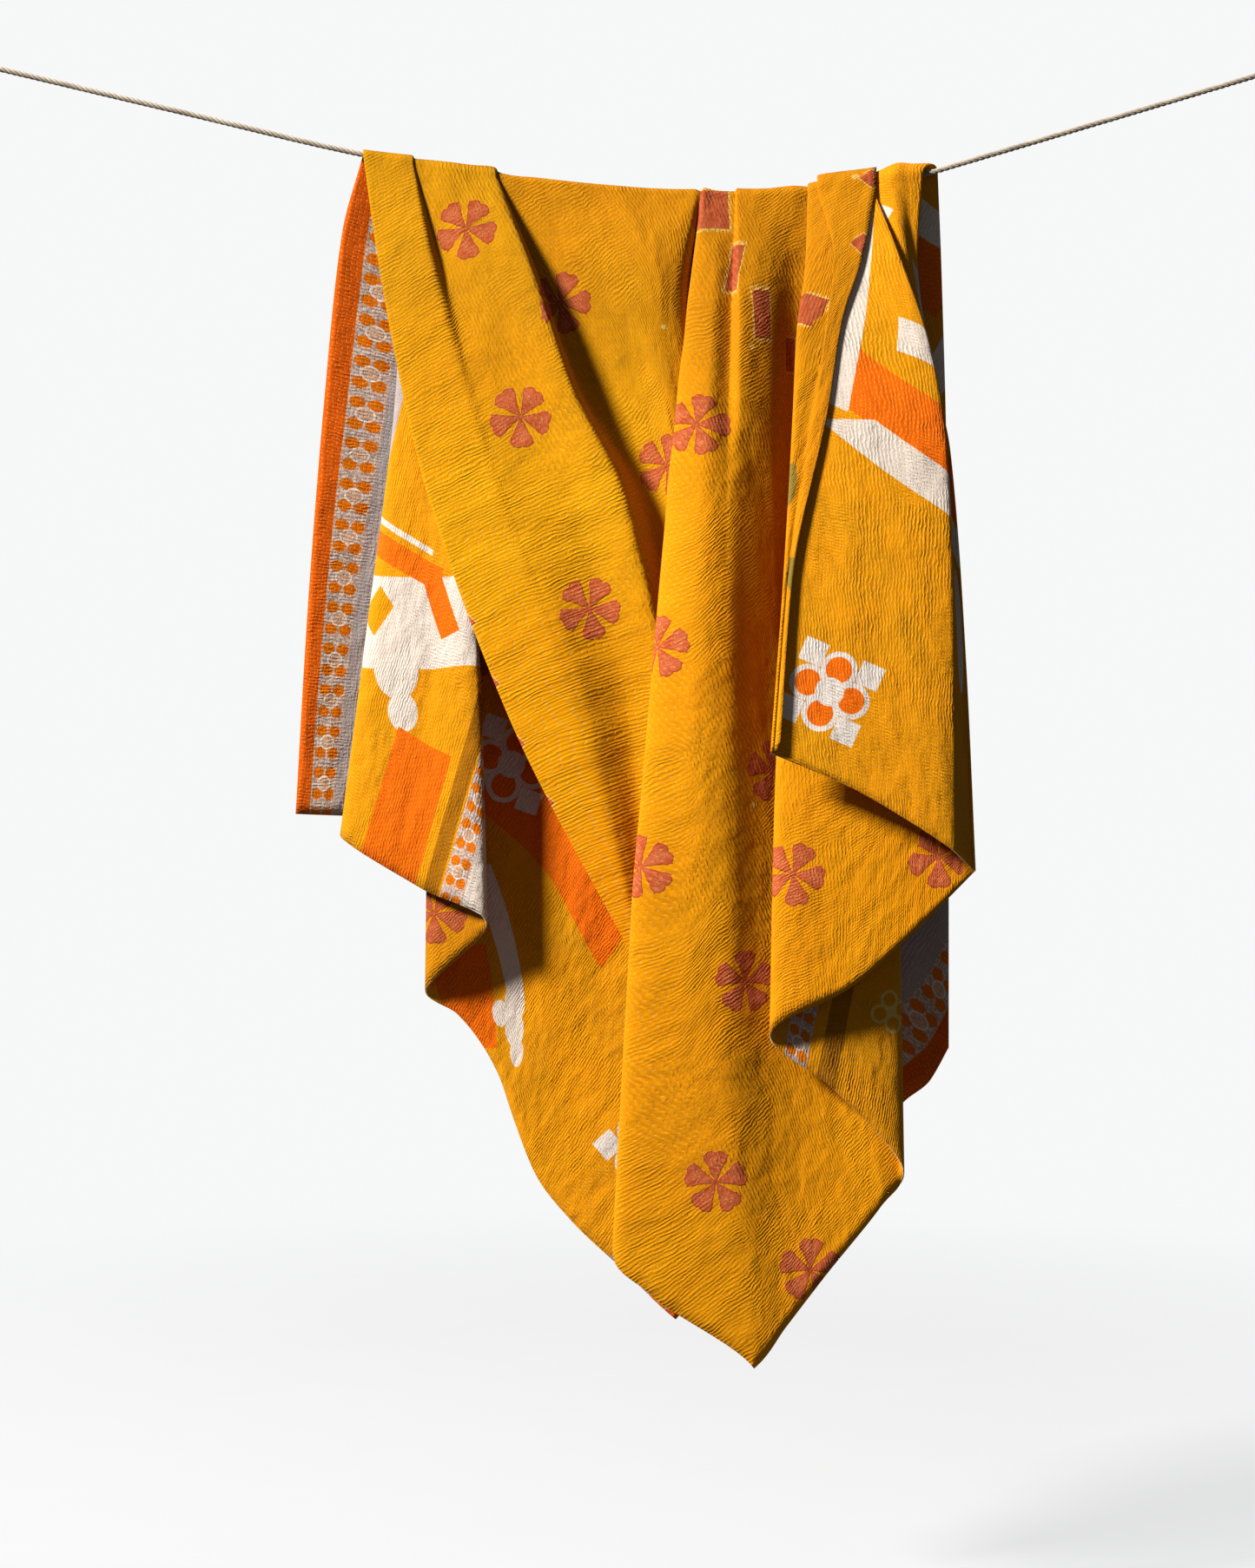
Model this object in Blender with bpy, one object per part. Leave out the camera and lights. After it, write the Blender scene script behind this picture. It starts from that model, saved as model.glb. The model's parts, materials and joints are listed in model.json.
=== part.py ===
"""A kantha quilt draped cornerwise over a taut rope, with the rope's knots, loops and eye plates.

The quilt is one stitched sheet of thin cotton cloths. It crosses the rope on the slant, so that
one corner hangs in front, one hangs behind, and both its long edges cross the rope.
Its folds run over the rope from the front hem to the back hem. Each is a row of the table FOLDS,
and the sheet is a smooth surface through all of them.
Lengths are in millimetres until the meshes are made, +Z up, and the viewer stands at -Y.
"""

import math
from typing import NamedTuple

import bmesh
import bpy
import numpy as np
from mathutils import Matrix, Vector

MM = 0.001

# Quilt
SHEET_THICK = 2.0
SQUEEZED_THICK = 1.0
FULL_FROM = 0.3
VIEW_DISTANCE = 3200.0
EYE_HEIGHT = -613.0

# Rope and what holds it
ROPE_RADIUS = 3.0
KNOT_RADIUS = 8.0
KNOT_LENGTH = 16.0
KNOT_WRAPS = 3
KNOT_FACE_X = 656.0
PLATE_X = 706.0
PLATE_RADIUS = 20.0
PLATE_THICK = 4.0
EYE_RADIUS = 10.0
EYE_WIRE = 2.5
FIT_GAP = 0.3

# Heights of the rope's axis: where it is pulled down by the cloth, and its two free ends
ROPE_LINE = (
    (-656.0, 129.5),
    (-460.0, 83.0),
    (-274.0, 39.5),
    (-220.0, 29.5),
    (-141.0, 17.0),
    (-74.0, 8.0),
    (-20.0, 2.7),
    (63.0, -3.0),
    (115.0, -3.8),
    (173.0, -1.0),
    (228.0, 5.5),
    (268.0, 11.5),
    (309.0, 19.5),
    (340.0, 28.5),
    (500.0, 76.0),
    (656.0, 122.6),
)
LEFT_SLOPE = -0.235
RIGHT_SLOPE = 0.30

# Where along the hang, from the rope to the hem, a fold's positions are given
FRONT_SHARES = (0.12, 0.25, 0.4, 0.7, 1.0)
BACK_SHARES = (0.12, 0.35, 0.7, 1.0)


class Fold(NamedTuple):
    """One line of the cloth, from the front hem over the rope to the back hem.

    rope_x and lift: where it crosses the rope, and its distance from the rope's axis there.
    x and y: its places at the shares of the hang, and z: its lower end. x and z are read on the
    rope's plane, as the viewer sees them, and y is how far behind that plane the cloth is.
    shift: how far to the right it moves on its way over the rope.
    turn: how roundly the cloth turns there, less than 0 where it comes nearer to the viewer, and
    rope_turn: the same over the rope, more than 0 where it rises.
    """

    name: str
    rope_x: float
    lift: float
    front_x: tuple
    front_y: tuple
    front_z: float
    back_x: tuple
    back_y: tuple
    back_z: float
    shift: float = 0.0
    front_turn: float = 0.0
    back_turn: float = 0.0
    rope_turn: float = 0.0


FOLDS = (
    Fold("edge_left", -274, 5.0,
         (-260, -241, -213, -124, 4), (-12, -17, -21, -26, -29), -790,
         (-296, -313, -332, -344), (14, 26, 34, 42), -644),
    Fold("strip_fold", -224, 8.5,
         (-206, -181, -144, -67, 14), (-27, -31, -33, -34, -29), -806,
         (-214, -207, -222, -234), (26, 39, 50, 58), -650, back_turn=-40),
    Fold("strip_valley", -220, 5.5,
         (-190, -162, -123, -37, 20), (-17, -32, -35, -34, -29), -815,
         (-230, -240, -270, -297), (20, 29, 29, 33), -666, back_turn=-40),
    Fold("band_middle", -180, 8.0,
         (-147, -111, -60, 4, 25), (-30, -36, -38, -18, -27), -824,
         (-188, -200, -209, -216), (14, 17, 14, 17), -720),
    Fold("band_ridge", -140, 8.5,
         (-99, -61, -2, 43, 30), (-38, -48, -50, -28, -29), -833,
         (-156, -168, -152, -146), (10, 10, 9, 11), -759, back_turn=50),
    Fold("band_valley", -132, 5.0,
         (-90, -50, 18, 58, 35), (-8, -8, -12, -24, -29), -840,
         (-146, -157, -205, -209), (22, 34, 38, 43), -827, back_turn=50),
    Fold("swell_left", -74, 5.0,
         (-29, 8, 52, 70, 38), (-20, -17, -20, -27, -30), -848,
         (-90, -115, -160, -177), (28, 47, 52, 54), -851),
    Fold("swell_right", 7, 5.0,
         (25, 40, 61, 77, 42), (-32, -30, -29, -30, -31), -854,
         (-12, -47, -110, -153), (30, 49, 57, 59), -880),
    Fold("panel_edge", 69, 6.5,
         (54, 58, 70, 86, 47), (-26, -29, -30, -31, -32), -860,
         (48, 12, -65, -133), (26, 41, 56, 60), -916),
    Fold("pleat_valley", 75, 4.8,
         (68, 78, 90, 99, 55), (-6, -24, -42, -42, -41), -876,
         (60, 34, -36, -117), (22, 37, 53, 59), -963, front_turn=-12),
    Fold("centre_left", 80, 8.0,
         (60, 46, 31, 4, -15), (-30, -48, -61, -68, -69), -1096,
         (76, 61, -6, -94), (30, 51, 57, 59), -1020, front_turn=-25),
    Fold("centre_ridge", 94, 5.5,
         (87, 77, 67, 56, 27), (-40, -65, -79, -77, -74), -1145,
         (90, 77, 25, -58), (32, 53, 57, 56), -1066),
    Fold("front_corner", 111, 4.8,
         (107, 103, 102, 104, 131), (-32, -62, -76, -75, -71), -1219,
         (108, 99, 65, -4), (30, 48, 55, 53), -1117),
    Fold("back_corner", 114, 8.0,
         (117, 121, 126, 142, 165), (-43, -54, -59, -57, -65), -1175,
         (114, 112, 88, 50), (28, 44, 51, 48), -1168),
    Fold("centre_slope", 143, 7.0,
         (146, 148, 154, 183, 205), (-32, -36, -38, -42, -60), -1123,
         (143, 142, 131, 126), (24, 38, 46, 46), -1096),
    Fold("centre_valley", 170, 8.0,
         (174, 178, 185, 228, 262), (-11, -12, -15, -28, -54), -1052,
         (172, 173, 176, 196), (20, 32, 42, 44), -1029),
    Fold("centre_right", 192, 5.0,
         (204, 228, 255, 280, 286), (-13, -22, -30, -39, -53), -1015,
         (200, 210, 228, 250), (18, 29, 40, 43), -978, front_turn=-40),
    Fold("return_middle", 199, 5.0,
         (206, 211, 214, 217, 214), (-16, -31, -44, -60, -71), -930,
         (208, 223, 250, 271), (16, 27, 38, 42), -958),
    Fold("lower_left", 206, 5.0,
         (208, 194, 174, 154, 148), (-19, -38, -55, -76, -84), -874,
         (216, 237, 270, 289), (15, 26, 37, 42), -940, front_turn=-50),
    Fold("panel_middle", 260, 5.8,
         (252, 250, 255, 250, 233), (-22, -41, -60, -84, -92), -823,
         (268, 284, 304, 312), (17, 28, 38, 45), -922),
    Fold("right_side", 306, 8.0,
         (300, 311, 334, 350, 360), (-24, -45, -62, -85, -93), -703,
         (325, 330, 332, 332), (20, 31, 40, 47), -886,
         shift=15, front_turn=-28, back_turn=14, rope_turn=9),
    Fold("hood_fold", 288, 13.5,
         (296, 309, 331, 348, 357), (-28, -48, -66, -89, -97), -701,
         (316, 324, 330, 331), (26, 35, 43, 49), -884, shift=13),
    Fold("hood_ridge", 273, 17.0,
         (289, 305, 328, 346, 354), (-40, -54, -70, -94, -102), -698,
         (307, 318, 327, 329), (30, 39, 46, 51), -882, shift=11),
    Fold("hood_under", 241, 8.4,
         (264, 294, 321, 343, 349), (-35, -60, -77, -102, -110), -693,
         (280, 306, 320, 327), (33, 43, 48, 53), -879, shift=9,
         front_turn=-14, rope_turn=8),
    Fold("flap_edge", 252, 13.2,
         (285, 314, 331, 338, 339), (-52, -76, -94, -119, -127), -683,
         (276, 297, 316, 325), (36, 47, 51, 56), -876, shift=6,
         front_turn=-24, rope_turn=10),
    Fold("flap_middle", 226, 9.0,
         (236, 246, 250, 241, 236), (-46, -74, -96, -120, -128), -619,
         (246, 270, 306, 322), (40, 52, 53, 58), -872),
    Fold("upper_left", 187, 8.3,
         (185, 176, 172, 162, 149), (-46, -75, -94, -119, -129), -581,
         (208, 238, 289, 321), (44, 58, 59, 62), -868,
         front_turn=-24, back_turn=14, rope_turn=8),
    Fold("sliver_valley", 213, 12.0,
         (218, 206, 190, 166, 152), (-48.5, -75, -95, -120.5, -131), -579,
         (218, 245, 295, 320), (47, 62, 65, 67), -862, rope_turn=8),
    Fold("sliver_edge", 197, 16.0,
         (214, 206, 196, 169, 155), (-51.5, -77.5, -97.5, -123, -133.5), -577,
         (224, 252, 300, 320), (50, 66, 69, 71), -855, rope_turn=8),
    Fold("edge_right", 258, 16.5,
         (245, 222, 208, 171, 158), (-49, -74.5, -96.5, -123, -133.5), -574,
         (262, 292, 313, 319), (53, 70, 73, 75), -848),
)

# The quilt's corner comes down on this fold, in front of the rope and behind it
CORNERS = {-1.0: "front_corner", 1.0: "back_corner"}

# How finely the solid is divided
STEP_ACROSS = 40.0
FEWEST_ACROSS = 2
MOST_ACROSS = 3
TIGHT_STEP = 0.1
CREST_STEPS = 6
FRONT_ROWS = (0.04, 0.11, 0.2, 0.3, 0.42, 0.54, 0.66, 0.78, 0.9, 1.0)
BACK_ROWS = (0.05, 0.14, 0.28, 0.45, 0.63, 0.82, 1.0)
ROUND_SIDES = 12


def steady_slopes(places: np.ndarray, values: np.ndarray) -> np.ndarray:
    """Slopes of a curve through the values that never swings past them."""
    widths = np.diff(places)
    rises = np.diff(values, axis=0) / widths.reshape(-1, *[1] * (values.ndim - 1))
    slopes = np.zeros_like(values)
    slopes[0], slopes[-1] = rises[0], rises[-1]
    before, after = rises[:-1], rises[1:]
    same_way = before * after > 0
    total = np.where(same_way, before + after, 1.0)
    slopes[1:-1] = np.where(same_way, 2 * before * after / total, 0.0)
    return slopes


def swinging_slopes(places: np.ndarray, values: np.ndarray) -> np.ndarray:
    """Slopes of a curve through the values, each along the line between its two neighbours."""
    slopes = np.zeros_like(values)
    spans = (places[2:] - places[:-2]).reshape(-1, *[1] * (values.ndim - 1))
    slopes[1:-1] = (values[2:] - values[:-2]) / spans
    slopes[0] = (values[1] - values[0]) / (places[1] - places[0])
    slopes[-1] = (values[-1] - values[-2]) / (places[-1] - places[-2])
    return slopes


def curve_at(places: np.ndarray, values: np.ndarray, slopes: np.ndarray, where: np.ndarray,
             arriving: np.ndarray | None = None) -> np.ndarray:
    """The cubic curve with those values and slopes at places, read at where.

    Arriving holds the slopes with which it comes to each place, where it turns sharply there.
    """
    arriving = slopes if arriving is None else arriving
    index = np.clip(np.searchsorted(places, where, side="right") - 1, 0, len(places) - 2)
    width = (places[index + 1] - places[index]).reshape(-1, *[1] * (values.ndim - 1))
    share = ((where - places[index])).reshape(width.shape) / width
    start, end = values[index], values[index + 1]
    leave, arrive = slopes[index] * width, arriving[index + 1] * width
    return (
        (2 * share**3 - 3 * share**2 + 1) * start
        + (share**3 - 2 * share**2 + share) * leave
        + (3 * share**2 - 2 * share**3) * end
        + (share**3 - share**2) * arrive
    )


def rope_height(x: np.ndarray) -> np.ndarray:
    """Height of the rope's axis at x."""
    places = np.array([p[0] for p in ROPE_LINE])
    heights = np.array([p[1] for p in ROPE_LINE])
    slopes = steady_slopes(places, heights)
    return curve_at(places, heights, slopes, np.ravel(x)).reshape(np.shape(x))


def lift_slopes(lift: np.ndarray) -> np.ndarray:
    """How fast the cloth's distance from the rope's axis changes across each fold."""
    turns = np.array([f.rope_turn for f in FOLDS])
    return np.where(turns != 0, turns, steady_slopes(np.arange(len(FOLDS), dtype=float), lift))


def fold_places() -> np.ndarray:
    """Where each column of the mesh lies, counted in folds, with one close to each side of a tight fold."""
    rows = [
        np.array([(f.rope_x, -f.lift), *zip(f.front_x, f.front_y), *zip(f.back_x, f.back_y)])
        for f in FOLDS
    ]
    tight = [k for k, fold in enumerate(FOLDS) if fold.front_turn or fold.back_turn
             or fold.rope_turn]
    places = [0.0, *(k + side * TIGHT_STEP for k in tight for side in (-1, 1))]
    for index, (one, other) in enumerate(zip(rows, rows[1:])):
        longest = np.linalg.norm(other - one, axis=1).max()
        count = int(np.clip(math.ceil(longest / STEP_ACROSS), FEWEST_ACROSS, MOST_ACROSS))
        places += [index + (k + 1) / count for k in range(count)]
    return np.array(sorted(places))


def hang(places: np.ndarray, xs: list, ys: list, z_end: list, turns: list, shares: tuple,
         rows: tuple, side: float) -> np.ndarray:
    """Points of the cloth on one side of the rope, one row of them for each share in rows.

    Across the folds, x and the hem's height follow curves that never pass a fold, and y leaves
    each turned fold straight towards the viewer or away.
    """
    counts = np.arange(len(FOLDS), dtype=float)
    x_rope = np.array([[f.rope_x + max(side, 0.0) * f.shift] for f in FOLDS])
    y_rope = np.array([[side * f.lift] for f in FOLDS])
    x = np.hstack([x_rope, np.array(xs, float)])
    y = np.hstack([y_rope, np.array(ys, float)])
    stations = np.array([0.0, *shares])
    y_slopes = swinging_slopes(counts, y)
    turned = np.array(turns, float)
    strength = np.sqrt(stations)
    y_slopes = np.where(
        (turned != 0)[:, None], turned[:, None] * strength + y_slopes * (1 - strength), y_slopes
    )
    y_slopes[:, 0] = side * lift_slopes(np.array([f.lift for f in FOLDS]))
    x_across = curve_at(counts, x, steady_slopes(counts, x), places)
    y_across = curve_at(counts, y, y_slopes, places)
    z_low = np.array(z_end, float)
    leave = steady_slopes(counts, z_low)
    arrive = leave.copy()
    for k in (k for k, fold in enumerate(FOLDS) if fold.name == CORNERS[side]):
        leave[k], arrive[k] = z_low[k + 1] - z_low[k], z_low[k] - z_low[k - 1]
    z_across = curve_at(counts, z_low, leave, places, arrive)
    z_top = rope_height(x_across[:, 0])
    drops = np.array(rows)
    down = curve_at(stations, x_across.T, steady_slopes(stations, x_across.T), drops)
    depth = curve_at(stations, y_across.T, steady_slopes(stations, y_across.T), drops)
    height = z_top + (z_across - z_top) * drops[:, None]
    nearer = 1 + depth / VIEW_DISTANCE
    return np.stack([down * nearer, depth, EYE_HEIGHT + (height - EYE_HEIGHT) * nearer], axis=-1)


def crest(places: np.ndarray) -> np.ndarray:
    """Points of the cloth over the rope: half turns about its axis, from the front to the back."""
    counts = np.arange(len(FOLDS), dtype=float)
    x = np.array([f.rope_x for f in FOLDS], float)
    lift = np.array([f.lift for f in FOLDS], float)
    behind = x + np.array([f.shift for f in FOLDS])
    x = curve_at(counts, x, steady_slopes(counts, x), places)
    behind = curve_at(counts, behind, steady_slopes(counts, behind), places)
    lift = curve_at(counts, lift, lift_slopes(lift), places)
    angles = np.linspace(math.pi, 0.0, CREST_STEPS + 1)[:, None]
    x = x + (behind - x) * (1 + np.cos(angles)) / 2
    y = lift * np.cos(angles)
    z = rope_height(x) + lift * np.sin(angles)
    nearer = 1 + y / VIEW_DISTANCE
    return np.stack([x * nearer, y, EYE_HEIGHT + (z - EYE_HEIGHT) * nearer], axis=-1)


def middle_surface() -> np.ndarray:
    """The quilt's middle surface, as rows of points from the front hem over the rope to the back hem."""
    places = fold_places()
    front = hang(places, [f.front_x for f in FOLDS], [f.front_y for f in FOLDS],
                 [f.front_z for f in FOLDS], [f.front_turn for f in FOLDS],
                 FRONT_SHARES, FRONT_ROWS, -1.0)
    back = hang(places, [f.back_x for f in FOLDS], [f.back_y for f in FOLDS],
                [f.back_z for f in FOLDS], [f.back_turn for f in FOLDS],
                BACK_SHARES, BACK_ROWS, 1.0)
    return np.concatenate([front[::-1], crest(places), back])


def grid_normals(points: np.ndarray) -> np.ndarray:
    """Unit normals of a grid of points."""
    along = np.gradient(points, axis=0)
    across = np.gradient(points, axis=1)
    normals = np.cross(across, along)
    return normals / np.maximum(np.linalg.norm(normals, axis=-1, keepdims=True), 1e-9)


def row_thickness() -> np.ndarray:
    """The sheet's thickness in each row of points: squeezed over the rope, and full further down."""
    full = [FULL_FROM, 1.0]
    front = np.interp(FRONT_ROWS[::-1], [0.0, *full], [SQUEEZED_THICK, SHEET_THICK, SHEET_THICK])
    back = np.interp(BACK_ROWS, [0.0, *full], [SQUEEZED_THICK, SHEET_THICK, SHEET_THICK])
    return np.concatenate([front, np.full(CREST_STEPS + 1, SQUEEZED_THICK), back])


def thick_sheet(points: np.ndarray, thick: np.ndarray) -> tuple:
    """Vertices and faces of a closed sheet about a grid of points, with a thickness for each row."""
    rows, columns = points.shape[:2]
    normals = grid_normals(points) * thick[:, None, None] / 2
    outer = (points + normals).reshape(-1, 3)
    inner = (points - normals).reshape(-1, 3)
    index = np.arange(rows * columns).reshape(rows, columns)
    a, b, c, d = index[:-1, :-1], index[:-1, 1:], index[1:, 1:], index[1:, :-1]
    face = np.concatenate([np.stack([a, b, c], axis=-1), np.stack([a, c, d], axis=-1)]).reshape(-1, 3)
    rim = np.concatenate([index[0, :], index[1:, -1], index[-1, -2::-1], index[-2:0:-1, 0]])
    ahead = np.roll(rim, -1)
    back = rows * columns
    edge = np.concatenate([
        np.stack([rim, rim + back, ahead + back], axis=-1),
        np.stack([rim, ahead + back, ahead], axis=-1),
    ])
    faces = np.concatenate([face, face[:, ::-1] + back, edge])
    return np.concatenate([outer, inner]), faces


def material(name: str, colour: tuple, roughness: float, metallic: float = 0.0) -> bpy.types.Material:
    """A plain surface."""
    made = bpy.data.materials.new(name)
    made.use_nodes = True
    shader = made.node_tree.nodes["Principled BSDF"]
    shader.inputs["Base Color"].default_value = (*colour, 1.0)
    shader.inputs["Roughness"].default_value = roughness
    shader.inputs["Metallic"].default_value = metallic
    return made


def add_object(name: str, mesh: bpy.types.Mesh, surface: bpy.types.Material, home) -> bpy.types.Object:
    """Puts a mesh in the scene as one sub-part, hung from home."""
    made = bpy.data.objects.new(name, mesh)
    made.data.materials.append(surface)
    made.parent = home
    bpy.context.scene.collection.objects.link(made)
    return made


def build_quilt(surface, home) -> bpy.types.Object:
    """The quilt, one closed sheet."""
    points, faces = thick_sheet(middle_surface(), row_thickness())
    mesh = bpy.data.meshes.new("quilt")
    mesh.from_pydata((points * MM).tolist(), [], faces.tolist())
    shape = bmesh.new()
    shape.from_mesh(mesh)
    bmesh.ops.recalc_face_normals(shape, faces=shape.faces)
    shape.to_mesh(mesh)
    shape.free()
    mesh.shade_smooth()
    return add_object("quilt", mesh, surface, home)


def tube(name: str, route: list, radius: float, surface, home) -> bpy.types.Object:
    """A round tube along a route, with flat ends."""
    curve = bpy.data.curves.new(name, "CURVE")
    curve.dimensions = "3D"
    curve.bevel_depth = radius * MM
    curve.bevel_resolution = 2
    curve.use_fill_caps = True
    line = curve.splines.new("POLY")
    line.points.add(len(route) - 1)
    for point, place in zip(line.points, route):
        point.co = (*(Vector(place) * MM), 1.0)
    return add_object(name, curve, surface, home)


def rope_route() -> list:
    """Points of the rope's axis, closest together where the cloth bends it."""
    ends = KNOT_FACE_X - FIT_GAP
    x = np.concatenate([
        np.linspace(-ends, -300, 14), np.linspace(-285, 335, 42), np.linspace(350, ends, 14)
    ])
    return [(float(a), 0.0, float(b)) for a, b in zip(x, rope_height(x))]


def build_knot(name: str, side: float, slope: float, surface, home) -> bpy.types.Object:
    """A knot of three wraps about the rope's line, as a turned barrel with a bump for each wrap."""
    start = Vector((side * KNOT_FACE_X, 0.0, float(rope_height(np.array([side * KNOT_FACE_X]))[0])))
    outward = Vector((side, 0.0, side * slope)).normalized()
    wrap = KNOT_LENGTH / KNOT_WRAPS
    profile = [(0.0, 0.0), (0.0, KNOT_RADIUS - wrap / 2)]
    for k in range(KNOT_WRAPS):
        for step in range(1, 5):
            angle = math.pi * step / 4
            profile.append((
                wrap * (k + 0.5) - wrap / 2 * math.cos(angle),
                KNOT_RADIUS - wrap / 2 * (1 - math.sin(angle)),
            ))
    profile.append((KNOT_LENGTH, 0.0))
    shape = bmesh.new()
    ring = [shape.verts.new((along * MM, radius * MM, 0.0)) for along, radius in profile]
    edges = [shape.edges.new(pair) for pair in zip(ring, ring[1:])]
    bmesh.ops.spin(shape, geom=ring + edges, axis=(1, 0, 0), cent=(0, 0, 0),
                   angle=math.tau, steps=ROUND_SIDES, use_merge=True)
    bmesh.ops.remove_doubles(shape, verts=shape.verts, dist=1e-6)
    bmesh.ops.recalc_face_normals(shape, faces=shape.faces)
    mesh = bpy.data.meshes.new(name)
    shape.to_mesh(mesh)
    shape.free()
    mesh.shade_smooth()
    made = add_object(name, mesh, surface, home)
    made.location = start * MM
    made.rotation_mode = "QUATERNION"
    made.rotation_quaternion = outward.to_track_quat("X", "Z")
    return made


def eye_centre(side: float, slope: float) -> Vector:
    """Centre of the ring that the rope's loop goes through. The rope's line meets the ring's near rim."""
    x = PLATE_X - PLATE_THICK - EYE_RADIUS + 1.0
    z = float(rope_height(np.array([side * KNOT_FACE_X]))[0])
    return Vector((side * x, 0.0, z + side * slope * (x - EYE_RADIUS - KNOT_FACE_X)))


def build_loop(name: str, side: float, slope: float, surface, home) -> bpy.types.Object:
    """The rope's loop through the eye: two strands from the knot that meet behind the eye's rim."""
    centre = eye_centre(side, slope)
    rim = centre - Vector((side * EYE_RADIUS, 0.0, 0.0))
    outward = Vector((side, 0.0, side * slope)).normalized()
    face = Vector((side * KNOT_FACE_X, 0.0, float(rope_height(np.array([side * KNOT_FACE_X]))[0])))
    start = face + outward * (KNOT_LENGTH + FIT_GAP)
    bend = EYE_WIRE + ROPE_RADIUS + 1.0
    reach = (rim - start).dot(outward)
    route = []
    for step in range(4):
        share = step / 4
        route.append((share * reach, ROPE_RADIUS + 0.3 + (bend - ROPE_RADIUS - 0.3) * share**1.5))
    for step in range(7):
        angle = math.pi / 2 - math.pi * step / 6
        route.append((reach + bend * math.cos(angle), bend * math.sin(angle)))
    route += [(a, -b) for a, b in reversed(route[:4])]
    points = [start + outward * a + Vector((0.0, b, 0.0)) for a, b in route]
    return tube(name, points, ROPE_RADIUS, surface, home)


def build_eye_plate(name: str, side: float, slope: float, surface, home) -> bpy.types.Object:
    """A round wall plate with a welded eye. Its flat outer face goes against the wall."""
    centre = eye_centre(side, slope)
    turn = Matrix.Rotation(math.pi / 2, 4, "Y")
    shape = bmesh.new()
    bmesh.ops.create_cone(
        shape, cap_ends=True, segments=2 * ROUND_SIDES, radius1=PLATE_RADIUS * MM,
        radius2=PLATE_RADIUS * MM, depth=PLATE_THICK * MM,
        matrix=Matrix.Translation(Vector((side * (PLATE_X - PLATE_THICK / 2), 0, centre.z)) * MM) @ turn,
    )
    mesh = bpy.data.meshes.new(name)
    shape.to_mesh(mesh)
    shape.free()
    made = add_object(name, mesh, surface, home)

    ring = bmesh.new()
    section = [
        ring.verts.new((
            (EYE_RADIUS + EYE_WIRE * math.cos(math.tau * k / 8)) * MM,
            EYE_WIRE * math.sin(math.tau * k / 8) * MM,
            0.0,
        ))
        for k in range(8)
    ]
    edges = [ring.edges.new((section[k], section[(k + 1) % 8])) for k in range(8)]
    bmesh.ops.spin(ring, geom=section + edges, axis=(0, 1, 0), cent=(0, 0, 0),
                   angle=math.tau, steps=ROUND_SIDES, use_merge=True)
    bmesh.ops.remove_doubles(ring, verts=ring.verts, dist=1e-6)
    bmesh.ops.recalc_face_normals(ring, faces=ring.faces)
    bmesh.ops.translate(ring, verts=ring.verts, vec=centre * MM)
    eye_mesh = bpy.data.meshes.new(name + "_eye")
    ring.to_mesh(eye_mesh)
    ring.free()
    eye = add_object(name + "_eye", eye_mesh, surface, home)
    eye.hide_render = True
    eye.display_type = "WIRE"
    weld = made.modifiers.new("weld_eye", "BOOLEAN")
    weld.operation = "UNION"
    weld.object = eye
    return made


def main() -> None:
    """Builds the quilt and its rope, with the left plate's outer face at the origin."""
    for old in list(bpy.data.objects):
        bpy.data.objects.remove(old)
    home = bpy.data.objects.new("hang_frame", None)
    bpy.context.scene.collection.objects.link(home)
    home.location = Vector((PLATE_X, 0.0, -eye_centre(-1.0, LEFT_SLOPE).z)) * MM
    cloth = material("quilt_cloth", (0.72, 0.42, 0.03), 0.9)
    fibre = material("rope_fibre", (0.42, 0.34, 0.25), 0.85)
    steel = material("plate_steel", (0.55, 0.55, 0.56), 0.35, 1.0)
    build_quilt(cloth, home)
    tube("rope", rope_route(), ROPE_RADIUS, fibre, home)
    for end, side, slope in (("left", -1.0, LEFT_SLOPE), ("right", 1.0, RIGHT_SLOPE)):
        build_knot(f"knot_{end}", side, slope, fibre, home)
        build_loop(f"loop_{end}", side, slope, fibre, home)
        build_eye_plate(f"eye_plate_{end}", side, slope, steel, home)
    bpy.context.view_layer.update()


main()
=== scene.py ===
"""Looks of a kantha quilt that hangs cornerwise over a twisted rope.

The quilt is one fine closed sheet on the same fold lines as its solid. Its two faces are different
cloths: the first is golden with five-petal flowers and patches, the second has orange edge bands,
a border of round flowers, rosettes and broad curved bands. Both are stitched through in close rows,
which pull the cloth into ripples. Every pattern is drawn on the cloth's own flat coordinates.
"""

import json
import logging
import math
from dataclasses import dataclass, field
from enum import Enum
from typing import NamedTuple

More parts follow.
